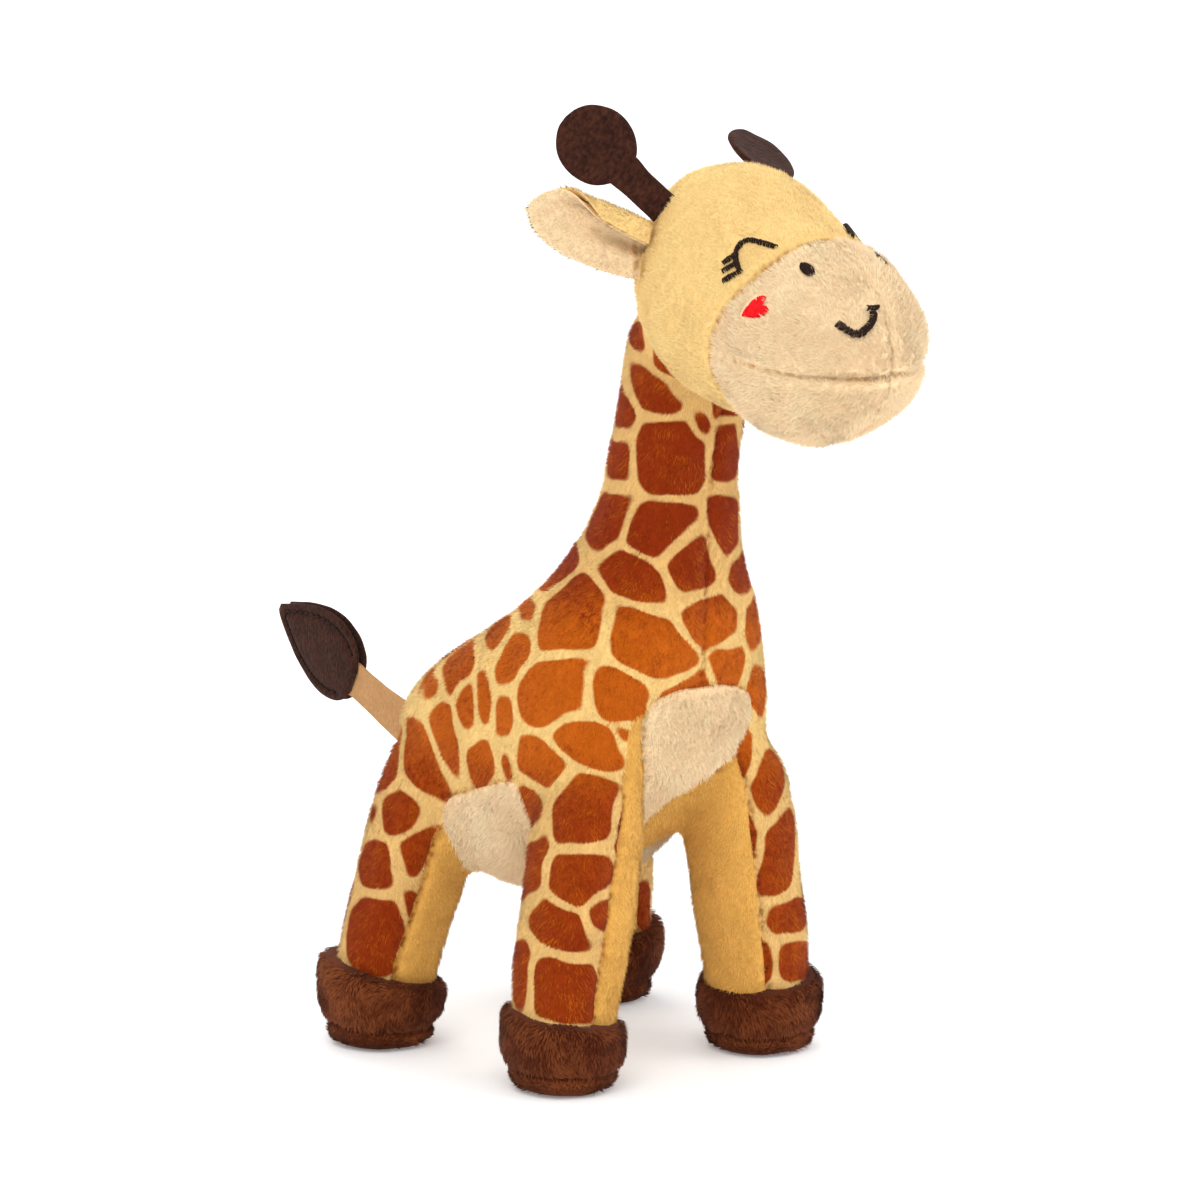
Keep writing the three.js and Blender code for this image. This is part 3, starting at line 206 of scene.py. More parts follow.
# ---------------------------------------------------------------- meshes
@dataclass
class Skin:
    """Triangles or quads in millimetres, with values that are kept at its points."""

    points: Array
    faces: Array
    values: dict[str, Array] = field(default_factory=dict)
    normals: Array | None = None

    def triangles(self) -> Array:
        """Its faces as triangles."""
        if self.faces.shape[1] == 3:
            return self.faces
        return np.concatenate([self.faces[:, [0, 1, 2]], self.faces[:, [0, 2, 3]]])

    def find_normals(self) -> Array:
        """A unit normal at each point."""
        tri = self.triangles()
        p = self.points
        n = np.cross(p[tri[:, 1]] - p[tri[:, 0]], p[tri[:, 2]] - p[tri[:, 0]])
        total = np.zeros_like(p)
        for k in range(3):
            np.add.at(total, tri[:, k], n)
        return unit(total)

    def part(self, keep: Array) -> "Skin":
        """The faces that are kept, with only their points."""
        faces = self.faces[keep]
        used, index = np.unique(faces, return_inverse=True)
        values = {k: v[used] for k, v in self.values.items()}
        normals = None if self.normals is None else self.normals[used]
        return Skin(self.points[used], index.reshape(faces.shape), values, normals)

    def middles(self) -> Array:
        """The middle of each face."""
        return self.points[self.faces].mean(axis=1)

    def gathered(self, ends: Array) -> Array:
        """The sum of the places that each point is paired with, from rows of (point, other point)."""
        sums = [np.bincount(ends[:, 0], self.points[ends[:, 1], k], len(self.points)) for k in range(3)]
        return np.stack(sums, 1)

    def relax(self, times: int, amount: Array | float) -> None:
        """Moves each point towards the middle of its neighbours.

        Args:
            times: how often.
            amount: the share of the way, from 0 to 1, for each point.
        """
        sides = self.faces.shape[1]
        a = np.concatenate([self.faces[:, k] for k in range(sides)])
        b = np.concatenate([self.faces[:, (k + 1) % sides] for k in range(sides)])
        ends = np.concatenate([np.stack([a, b], 1), np.stack([b, a], 1)])
        count = np.bincount(ends[:, 0], minlength=len(self.points))[:, None]
        share = np.asarray(amount).reshape(-1, 1) if np.ndim(amount) else amount
        for _ in range(times):
            mean = self.gathered(ends) / np.maximum(count, 1)
            self.points = self.points + share * (mean - self.points)

    def smooth_borders(self, labels: Array, times: int) -> None:
        """Takes the steps out of the lines where two panels meet.

        Args:
            labels: the panel of each face.
            times: how often each point on such a line moves between its neighbours there.
        """
        sides = self.faces.shape[1]
        a = self.faces.ravel()
        b = np.roll(self.faces, -1, axis=1).ravel()
        face = np.repeat(np.arange(len(self.faces)), sides)
        low, high = np.minimum(a, b), np.maximum(a, b)
        order = np.lexsort((high, low))
        low, high, face = low[order], high[order], face[order]
        same = (low[1:] == low[:-1]) & (high[1:] == high[:-1])
        border = np.flatnonzero(same & (labels[face[1:]] != labels[face[:-1]]))
        ends = np.stack([low[border], high[border]], 1)
        ends = np.concatenate([ends, ends[:, ::-1]])
        count = np.bincount(ends[:, 0], minlength=len(self.points))
        on = count == 2
        for _ in range(times):
            self.points[on] += 0.5 * (self.gathered(ends)[on] / 2 - self.points[on])


def make_piece(name: str, skin: Skin) -> bpy.types.Object:
    """A smooth-shaded Blender object from a skin, with its place in its mesh.

    Args:
        name: the piece's name.
        skin: its points, faces and values.

    Returns:
        The new object.
    """
    mesh = bpy.data.meshes.new(name)
    sides = skin.faces.shape[1]
    mesh.vertices.add(len(skin.points))
    mesh.vertices.foreach_set("co", (skin.points * MM).astype(np.float32).ravel())
    mesh.loops.add(skin.faces.size)
    mesh.loops.foreach_set("vertex_index", skin.faces.astype(np.int32).ravel())
    mesh.polygons.add(len(skin.faces))
    mesh.polygons.foreach_set("loop_start", np.arange(0, skin.faces.size, sides, dtype=np.int32))
    mesh.polygons.foreach_set("use_smooth", np.ones(len(skin.faces), bool))
    mesh.update(calc_edges=True)
    for key, value in skin.values.items():
        layer = mesh.attributes.new(key, "FLOAT", "POINT")
        layer.data.foreach_set("value", value.astype(np.float32))
    if skin.normals is not None:
        mesh.normals_split_custom_set_from_vertices(skin.normals.tolist())
    made = bpy.data.objects.new(name, mesh)
    bpy.context.scene.collection.objects.link(made)
    return made


def read_skin(made: bpy.types.Object) -> Skin:
    """The points and faces of an object whose faces all have as many sides."""
    mesh = made.data
    points = np.empty(len(mesh.vertices) * 3, np.float32)
    mesh.vertices.foreach_get("co", points)
    faces = np.empty(len(mesh.loops), np.int32)
    mesh.loops.foreach_get("vertex_index", faces)
    return Skin(points.reshape(-1, 3).astype(float) / MM, faces.reshape(len(mesh.polygons), -1))


def loft(rings: Array) -> Skin:
    """Quads between rings of points, closed at both ends by small rings.

    Args:
        rings: an array of rings by points by three.

    Returns:
        A closed skin of triangles.
    """
    count, sides, _ = rings.shape
    points = rings.reshape(-1, 3)
    i = np.arange(sides)
    j = (i + 1) % sides
    faces = []
    for r in range(count - 1):
        a, b, c, d = r * sides + i, r * sides + j, (r + 1) * sides + j, (r + 1) * sides + i
        faces += [np.stack([a, b, c], 1), np.stack([a, c, d], 1)]
    hubs = np.stack([rings[0].mean(axis=0), rings[-1].mean(axis=0)])
    first, last = len(points), len(points) + 1
    faces.append(np.stack([np.full(sides, first), j, i], 1))
    end = (count - 1) * sides
    faces.append(np.stack([np.full(sides, last), end + i, end + j], 1))
    return Skin(np.concatenate([points, hubs]), np.concatenate(faces))


def square_ring(sides: int, power: Array | float) -> tuple[Array, Array, Array]:
    """The cosines, the sines and the bulge round a ring: power 2 is a circle, and more is squarer."""
    turn = (np.arange(sides) + 0.5) / sides * 2 * math.pi
    c, s = np.cos(turn)[None], np.sin(turn)[None]
    return c, s, (np.abs(c) ** power + np.abs(s) ** power) ** (-1 / power)


def joined(skins: list[Skin]) -> Skin:
    """Several skins as one of triangles."""
    first = np.cumsum([0, *[len(s.points) for s in skins]])
    faces = [s.triangles() + n for s, n in zip(skins, first)]
    return Skin(np.concatenate([s.points for s in skins]), np.concatenate(faces))


def remeshed(skins: list[Skin], voxel: float) -> Skin:
    """Several closed skins as one, with even faces.

    Args:
        skins: closed skins that overlap.
        voxel: size of the new faces, in millimetres.

    Returns:
        One closed skin of quads.
    """
    made = make_piece("rough", joined(skins))
    bpy.ops.object.select_all(action="DESELECT")
    bpy.context.view_layer.objects.active = made
    made.select_set(True)
    shape = made.modifiers.new("even", "REMESH")
    shape.mode = "VOXEL"
    shape.voxel_size = voxel * MM
    bpy.ops.object.modifier_apply(modifier="even")
    skin = read_skin(made)
    bpy.data.objects.remove(made)
    return skin


CLOTH_SETTINGS = {
    "quality": 6, "mass": 0.1, "vertex_group_mass": "held",
    "tension_stiffness": 8, "compression_stiffness": 8, "bending_stiffness": 0.2,
    "use_pressure": True, "uniform_pressure_force": 4.0,
}
CLOTH_FRAMES = 20
SEAM_GRIP = 1.6


def puffed(skin: Skin, coarse: float = 4.5, most: float = 1.3) -> Array:
    """How far each point moves when the cover is filled, from a cloth simulation.

    Args:
        skin: the cover, with the value seam that holds it in.
        coarse: size of the simulated cloth's faces, in millimetres.
        most: the longest move, in millimetres.

    Returns:
        One move for each point, in millimetres.
    """
    rough = remeshed([skin], coarse)
    made = make_piece("cover", rough)
    held = made.vertex_groups.new(name="held")
    near = spread(rough.points, skin.points, skin.values["seam"][:, None], 2.0)[:, 0]
    for k, value in enumerate(near):
        held.add([k], float(np.clip(value * SEAM_GRIP, 0, 1)), "REPLACE")
    cloth = made.modifiers.new("cloth", "CLOTH")
    for key, value in CLOTH_SETTINGS.items():
        setattr(cloth.settings, key, value)
    cloth.settings.effector_weights.gravity = 0
    cloth.collision_settings.use_collision = False
    cloth.point_cache.frame_start = 1
    cloth.point_cache.frame_end = CLOTH_FRAMES
    scene = bpy.context.scene
    for frame_number in range(1, CLOTH_FRAMES + 1):
        scene.frame_set(frame_number)
    done = made.evaluated_get(bpy.context.evaluated_depsgraph_get())
    moved = read_skin(done).points - rough.points
    scene.frame_set(1)
    bpy.data.objects.remove(made)
    far = np.linalg.norm(moved, axis=1, keepdims=True)
    log.info("cloth: moved %.2f mm at most, %.2f mm on average", far.max(), far.mean())
    moved = moved * np.minimum(1, most / np.maximum(far, 1e-9))
    return spread(skin.points, rough.points, moved, coarse * 0.8)


def spread(to: Array, known: Array, values: Array, reach: float) -> Array:
    """Values at new places, each the weighted mean of the known ones round it.

    Args:
        to: the new places.
        known: the places whose values are known.
        values: those values.
        reach: how far a value spreads, in millimetres.

    Returns:
        One value for each new place.
    """
    made = np.empty((len(to), values.shape[1]))
    size = (known**2).sum(axis=1)
    batch, closest = 1500, 7
    for first in range(0, len(to), batch):
        p = to[first : first + batch]
        far = (p**2).sum(axis=1)[:, None] + size[None] - 2 * p @ known.T
        near = np.argpartition(far, closest, axis=1)[:, :closest]
        gap = np.take_along_axis(far, near, axis=1)
        weight = np.exp(-(gap - gap.min(axis=1, keepdims=True)) / (2 * reach**2))
        total = (values[near] * weight[..., None]).sum(axis=1)
        made[first : first + batch] = total / weight.sum(axis=1)[:, None]
    return made


# ---------------------------------------------------------------- trunk, neck and legs
@dataclass(frozen=True)
class Trunk:
    """The trunk and the neck, as level rings."""

    belly: float = 45.0
    barrel: float = 84.0
    half_width: float = 37.0
    chest_y: float = -45.0
    rump_y: float = 45.5
    withers: float = 117.0
    withers_half_width: float = 30.8
    neck: float = 157.0
    neck_half_width: float = 17.5
    neck_half_depth: float = 15.8
    neck_y: float = -35.4
    top_y: float = -42.2
    top_z: float = 188.0
    slope: Curve = Curve(((-48, 16), (-32, 14.5), (-16, 6.5), (0, -2), (18, -4.5), (34, -3), (45, 0)))

    def sag(self, p: Array, way: float) -> Array:
        """Points moved with the underside, which hangs low in the middle and rises to the chest.

        Args:
            p: the points.
            way: 1 to move them, and -1 to take the move back.

        Returns:
            The moved points.
        """
        moved = p.copy()
        moved[:, 2] += way * self.slope(p[:, 1]) * smooth_step(92, 52, p[:, 2])
        return moved

    def curves(self) -> tuple[Curve, Curve, Curve, Curve]:
        """Half width, front, rear and squareness at each level."""
        mid = (self.chest_y + self.rump_y) / 2
        half = (self.rump_y - self.chest_y) / 2
        w, rise = self.half_width, self.barrel - self.belly
        span, climb = self.withers - self.barrel, self.neck - self.withers
        low = [*(self.belly + rise * k for k in (0, 0.06, 0.3, 0.6)), self.barrel]
        upper = [*(self.withers + climb * k for k in (0, 0.33, 0.68)), self.neck, self.top_z]
        cap = [self.top_z + k for k in (6, 12, 16)]
        n, d, r = self.neck_half_width, self.neck_half_depth, self.rump_y
        shoulder = self.barrel + span * 0.55

        wide = [w * k for k in (0.3, 0.5, 0.79, 0.94, 1, 0.975)]
        wide += [self.withers_half_width, *(n * k for k in (1.36, 1.09, 1, 0.9, 0.84, 0.7, 0.5))]
        half_x = Curve.over([*low, shoulder, *upper, *cap], wide)

        fronts = [*(mid - half * k for k in (0.3, 0.45, 0.78, 0.95)), self.chest_y]
        fronts += [*(self.chest_y - k for k in (2.5, 4, 4.5)), self.neck_y - d * 0.94]
        fronts += [self.neck_y - d, self.top_y - d * 1.05, self.top_y - d]
        front = Curve.over([*low, shoulder, *upper, cap[2]], fronts)

        rears = [*(mid + half * k for k in (0.3, 0.5, 0.86, 0.98)), r]
        rears += [r - half * k for k in (0.14, 0.37, 0.85)]
        rears += [self.neck_y + d * k for k in (1.88, 1.26, 1.03)]
        rears += [self.top_y + d * k for k in (1.1, 0.97, 0.7, 0.4)]
        rear = Curve.over([*low, self.barrel + span * 0.3, shoulder, *upper, *cap], rears)

        levels = [self.belly, self.barrel, shoulder, self.withers, self.neck]
        return half_x, front, rear, Curve.over(levels, [2, 3.25, 2.7, 2.2, 2])

    def reach(self, p: Array) -> Array:
        """How far out each point is: 1 on the cloth, and less inside it."""
        half_x, front, rear, square = self.curves()
        p = self.sag(p, -1)
        z = p[:, 2]
        f, r = front(z), rear(z)
        s = square(z)
        u = np.abs(p[:, 0]) / half_x(z)
        v = np.abs(p[:, 1] - (f + r) / 2) / ((r - f) / 2)
        return (u**s + v**s) ** (1 / s)

    def rough(self) -> Skin:
        """The trunk and the neck as one loft."""
        half_x, front, rear, square = self.curves()
        z = np.linspace(self.belly, self.top_z + 16, 116)[:, None]
        c, s, out = square_ring(96, square(z))
        f, r = front(z), rear(z)
        x = half_x(z) * c * out
        y = (f + r) / 2 + (r - f) / 2 * s * out
        made = loft(np.stack([x, y, np.broadcast_to(z, x.shape)], axis=2))
        made.points = self.sag(made.points, 1)
        return made


@dataclass(frozen=True)
class Leg:
    """One leg, from its hip to its hoof."""

    name: str
    side: int
    hip_y: float
    hoof_x: float
    hoof_y: float
    seam: float
    hip_x: float = 25.2
    hip_half: float = 14.8
    hip_z: float = 72.0
    hip_radius: float = 15.0
    ankle: float = 18.0
    radius: float = 12.8
    square: float = 2.2

    @property
    def rear(self) -> bool:
        """Whether this is a rear leg."""
        return self.name.startswith("rear")

    def line(self) -> tuple[Curve, Curve, Curve, Curve]:
        """The middle's X and Y, and the half width and half depth, at each level."""
        top = self.hip_z + self.hip_radius
        knee = (self.hip_z + self.ankle) / 2
        thigh = (self.hip_z + knee) / 2
        lean = self.hoof_y - self.hip_y
        middle = (self.hip_x + self.hoof_x) / 2 - 0.1
        levels, r, hip = [0, self.ankle, knee, self.hip_z, top], self.radius, self.hip_radius
        xs = [self.hoof_x - 0.4, self.hoof_x - 0.7, middle, self.hip_x, self.hip_x - 3]
        ys = [self.hoof_y, *(self.hip_y + lean * k for k in (0.85, 0.42, 0, 0))]
        x, y = Curve.over(levels, xs), Curve.over(levels, ys)
        half_x = Curve.over(levels, [r, r + 0.7, r * 1.18, self.hip_half, self.hip_half * 0.8])
        levels = [0, self.ankle, knee, thigh, self.hip_z, top]
        half_y = Curve.over(levels, [r, r, r * 1.09, hip * 0.95, hip * 0.99, hip])
        return x, y, half_x, half_y

    def reach(self, p: Array) -> Array:
        """How far out each point is: 1 on the cloth, and more past the hip's round top."""
        x, y, half_x, half_y = self.line()
        z = np.clip(p[:, 2], 0, self.hip_z + self.hip_radius)
        u = np.abs(p[:, 0] * self.side - x(z)) / half_x(z)
        v = np.abs(p[:, 1] - y(z)) / half_y(z)
        ring = (u**self.square + v**self.square) ** (1 / self.square)
        above = np.maximum(p[:, 2] - self.hip_z, 0) / self.hip_radius
        hip = np.hypot((p[:, 1] - self.hip_y) / self.hip_radius, above)
        return np.where(above > 0, np.maximum(ring, hip), ring)

    def outside(self, p: Array) -> Array:
        """How far each point is outside the plane of the leg's two seams."""
        return p[:, 0] * self.side - self.line()[0](p[:, 2]) - self.seam

    def rough(self) -> Skin:
        """The leg as one loft, round at the hip."""
        x, y, half_x, half_y = self.line()
        top = self.hip_z + self.hip_radius
        levels = np.linspace(8, top - 0.5, 60)[:, None]
        c, s, out = square_ring(56, self.square)
        above = np.maximum(levels - self.hip_z, 0) / self.hip_radius
        round_top = np.sqrt(np.clip(1 - above**2, 0.02, 1))
        px = self.side * x(levels) + half_x(levels) * round_top**0.5 * c * out
        py = y(levels) + half_y(levels) * round_top * s * out
        return loft(np.stack([px, py, np.broadcast_to(levels, px.shape)], axis=2))


TRUNK = Trunk()
LEGS = (
    Leg("front_right", -1, -30.5, 33.0, -31.0, 0.3, 23.8, 13.4),
    Leg("front_left", 1, -30.5, 33.0, -31.0, -6.0, 23.8, 13.4),
    Leg("rear_right", -1, 26.0, 37.0, 36.5, 6.5),
    Leg("rear_left", 1, 26.0, 37.0, 36.5, 4.0),
)


# ---------------------------------------------------------------- head
@dataclass(frozen=True)
class HeadForm:
    """The head, round an axis from the back of the skull to the snout."""

    centre: tuple[float, float, float] = (0.0, -58.5, 205.0)
    tilt: float = 20.0
    skull: float = 28.0
    muzzle_seam: float = 25.0
    seam_radius: float = 25.3
    muzzle: float = 25.2
    bulge: float = 35.0
    length: float = 61.0
    crown_seam: float = -14.0
    mouth_rise: float = 4.6
    mouth_slope: float = 0.1

    def axis(self) -> Array:
        """The way that the snout points."""
        t = math.radians(self.tilt)
        return np.array([0.0, -math.cos(t), -math.sin(t)])

    def up(self) -> Array:
        """The way to the top of the head, square to its axis."""
        t = math.radians(self.tilt)
        return np.array([0.0, -math.sin(t), math.cos(t)])

    def radius(self) -> Curve:
        """The head's radius at each place along its axis."""
        s, m, b = self.skull, self.muzzle, self.bulge
        return Curve(
            (
                (-s, 0), (-s * 0.96, s * 0.27), (-s * 0.8, s * 0.6), (-s * 0.5, s * 0.87), (0, s),
                (self.muzzle_seam * 0.5, s * 0.985), (self.muzzle_seam - 3, self.seam_radius + 0.6),
                (self.muzzle_seam, self.seam_radius - 0.4),
                (self.muzzle_seam + 3, self.seam_radius + 0.2), (b, m), (b + m * 0.5, m * 0.87),
                (b + m * 0.8, m * 0.6), (self.length - 1, m * 0.27), (self.length, 0),
            )
        )

    def place(self, ahead: Array, turn: Array, out: Array | float = 0.0) -> Array:
        """Points over the cloth.

        Args:
            ahead: millimetres along the axis from the skull's centre.
            turn: degrees round from the top of the head to its right.
            out: how far out of the cloth.

        Returns:
            One point for each place.
        """
        ahead, turn = np.broadcast_arrays(np.asarray(ahead, float), np.radians(turn))
        r = self.radius()
        slope = (r(ahead + 0.2) - r(ahead - 0.2)) / 0.4
        outward = np.cos(turn)[..., None] * self.up() + np.sin(turn)[..., None] * np.array([-1.0, 0, 0])
        normal = unit(outward - slope[..., None] * self.axis())
        base = np.array(self.centre) + ahead[..., None] * self.axis() + r(ahead)[..., None] * outward
        return base + normal * np.asarray(out)[..., None]

    def read(self, p: Array) -> tuple[Array, Array]:
        """How far ahead each point is, and how far it is outside the cloth."""
        rel = p - np.array(self.centre)
        ahead = rel @ self.axis()
        reach = np.linalg.norm(rel - ahead[:, None] * self.axis(), axis=1)
        return ahead, reach - self.radius()(ahead)

    def over_mouth(self, p: Array) -> Array:
        """How far each point is over the mouth seam."""
        tip = self.place(np.array([self.length]), np.array([0.0]))[0] + self.up() * self.mouth_rise
        return p[:, 2] - tip[2] - (p[:, 1] - tip[1]) * self.mouth_slope

    def rough(self) -> Skin:
        """The head as one loft."""
        share = np.linspace(0, math.pi, 150)
        mid, half = (self.length - self.skull) / 2, (self.length + self.skull) / 2
        ahead = mid - np.cos(share) * (half - 0.25)
        turn = (np.arange(168) + 0.5) / 168 * 360
        grid = self.place(ahead[:, None], turn[None], 0.0)
        return loft(grid)


HEAD = HeadForm()


# ---------------------------------------------------------------- print
@dataclass(frozen=True)
class Spot:
    """One spot of the print, as its middle and half sizes show in the picture."""

    x: float
    y: float
    half_x: float
    half_y: float
    lean: float = 0.0


SPOTS = tuple(
    Spot(*values)
    for values in (
        (628, 331, 9, 32, 8), (643, 346, 8, 17, -20), (652, 386, 31, 21, 25), (623, 410, 10, 25),
        (703, 423, 8, 16), (620, 461, 12, 25), (671, 460, 37, 34), (727, 455, 16, 33),
        (610, 521, 34, 19, -59), (661, 528, 36, 25), (724, 523, 16, 33), (694, 563, 23, 33),
        (633, 580, 38, 20, 38), (559, 573, 25, 11, -50), (742, 578, 12, 19), (709, 621, 31, 27),
        (754, 624, 8, 25), (568, 615, 37, 35, -15), (658, 649, 54, 30, 38), (528, 611, 10, 12),
        (511, 658, 28, 14, -65), (496, 637, 20, 10, -60), (553, 694, 42, 32, -22),
        (621, 698, 38, 22, 15), (587, 743, 38, 20, 30), (728, 668, 18, 22), (755, 690, 9, 26),
        (768, 719, 5, 20), (538, 761, 28, 20, 45), (483, 691, 8, 25), (504, 721, 8, 24),
        (466, 708, 9, 25), (443, 736, 16, 38, -18), (481, 763, 17, 20, -25), (505, 762, 7, 16),
        (457, 667, 28, 17, -50), (431, 690, 10, 20, 20), (422, 760, 21, 44, -18), (625, 738, 7, 8),
        (387, 762, 7, 22), (374, 811, 6, 17), (402, 813, 26, 24), (420, 849, 30, 22, -50),
        (378, 863, 22, 22, 30), (378, 938, 33, 36), (413, 909, 10, 18), (340, 923, 5, 14),
        (531, 810, 14, 25), (588, 813, 33, 36), (532, 870, 13, 33, 8), (583, 877, 35, 27, -15),
        (560, 927, 39, 20, 35), (603, 916, 14, 23, 20), (521, 980, 8, 28), (570, 993, 37, 32),
        (605, 970, 7, 15), (766, 792, 15, 38, 8), (775, 855, 19, 42, 5), (788, 918, 20, 17),
        (796, 962, 17, 21), (643, 910, 5, 20),
    )
)


@dataclass
class Print:
    """The giraffe print: spots that part along thin light lines.

    The spots on the side that the picture shows are listed. The rest are
    scattered in the same sizes: no two middles are nearer than apart, and each
    stays off the placed spots by the share room of its size.
    """

    cloth: Skin
    gap: float = 2.2
    grow: float = 1.5
    depth: float = 9.5
    scattered: float = 9.5
    apart: float = 17.5
    room: float = 0.6
    soft: float = 0.4

    def __post_init__(self) -> None:
        """Casts the listed spots on the cloth and scatters the rest."""
        tree = BVHTree.FromPolygons(self.cloth.points.tolist(), self.cloth.triangles().tolist())
        right, up, towards = CAMERA.axes()
        centres, axes, size = [], [], []
        for spot in SPOTS:
            eye, way = CAMERA.ray(spot.x, spot.y)
            hit, _, _, _ = tree.ray_cast(Vector(eye), Vector(way))
            if hit is None:
                continue
            lean = math.radians(spot.lean)
            across = right * math.cos(lean) - up * math.sin(lean)
            along = right * math.sin(lean) + up * math.cos(lean)
            sizes = [spot.half_x * CAMERA.scale, spot.half_y * CAMERA.scale, self.depth]
            size.append(math.sqrt(sizes[0] * sizes[1]))
            centres.append(np.array(hit))
            axes.append(np.stack([across / sizes[0], along / sizes[1], towards / sizes[2]]))
        self.hand = len(centres)
        rng = np.random.default_rng(7)
        order = rng.permutation(len(self.cloth.points))
        placed = np.array(centres)
        for i in order:
            p = self.cloth.points[i]
            if np.min(np.linalg.norm(placed[self.hand :] - p, axis=1), initial=99) < self.apart:
                continue
            rel = np.einsum("nij,nj->ni", np.array(axes[: self.hand]), p - placed[: self.hand])
            near = (np.linalg.norm(rel, axis=1) - 1) * np.array(size[: self.hand])
            if near.min() < self.scattered * self.room:
                continue
            centres.append(p)
            axes.append(np.eye(3) / (self.scattered * rng.uniform(0.8, 1.15)))
            size.append(self.scattered)
            placed = np.array(centres)
        self.centres, self.axes, self.size = placed, np.array(axes), np.array(size)
        log.info("print: %d spots", len(placed))

    def shade(self, points: Array) -> Array:
        """How far inside a spot each point is, in millimetres."""
        edge = np.empty(len(points))
        batch = 20000
        for first in range(0, len(points), batch):
            p = points[first : first + batch]
            rel = np.einsum("sij,psj->psi", self.axes, p[:, None] - self.centres[None])
            off = ((np.abs(rel) ** 3).sum(axis=2) ** (1 / 3) - 1) * self.size
            off.partition(2, axis=1)
            one, two, three = np.sort(off[:, :3], axis=1).T
            apart = [(other - one) / 2 - self.gap / 2 for other in (two, three)]
            terms = np.stack([*apart, self.grow - one])
            edge[first : first + batch] = -self.soft * np.log(np.exp(-terms / self.soft).sum(axis=0))
        return edge + (noise(points, 3.2, 3) - 0.5) * 0.7 + (noise(points, 7, 13) - 0.5) * 1.1


# ---------------------------------------------------------------- pile
@dataclass(frozen=True)
class Strand:
    """How the corners of one fibre are joined, how far along it each is, and its place on a flat map."""

    sides: tuple[tuple[int, int, int], ...]
    along: tuple[float, ...]
    flat: tuple[tuple[float, float], ...]


STRAIGHT = Strand(
    sides=((0, 1, 3), (1, 2, 3), (2, 0, 3), (0, 2, 1)),
    along=(0, 0, 0, 1),
    flat=((0.1, 0.1), (0.5, 0.1), (0.9, 0.1), (0.5, 0.9)),
)
BENT = Strand(
    sides=(
        (0, 1, 4), (0, 4, 3), (1, 2, 5), (1, 5, 4), (2, 0, 3), (2, 3, 5), (3, 4, 6), (4, 5, 6),
        (5, 3, 6), (0, 2, 1),
    ),
    along=(0, 0, 0, 0.5, 0.5, 0.5, 1),
    flat=((0.1, 0.1), (0.5, 0.1), (0.9, 0.1), (0.2, 0.5), (0.5, 0.5), (0.8, 0.5), (0.5, 0.9)),
)


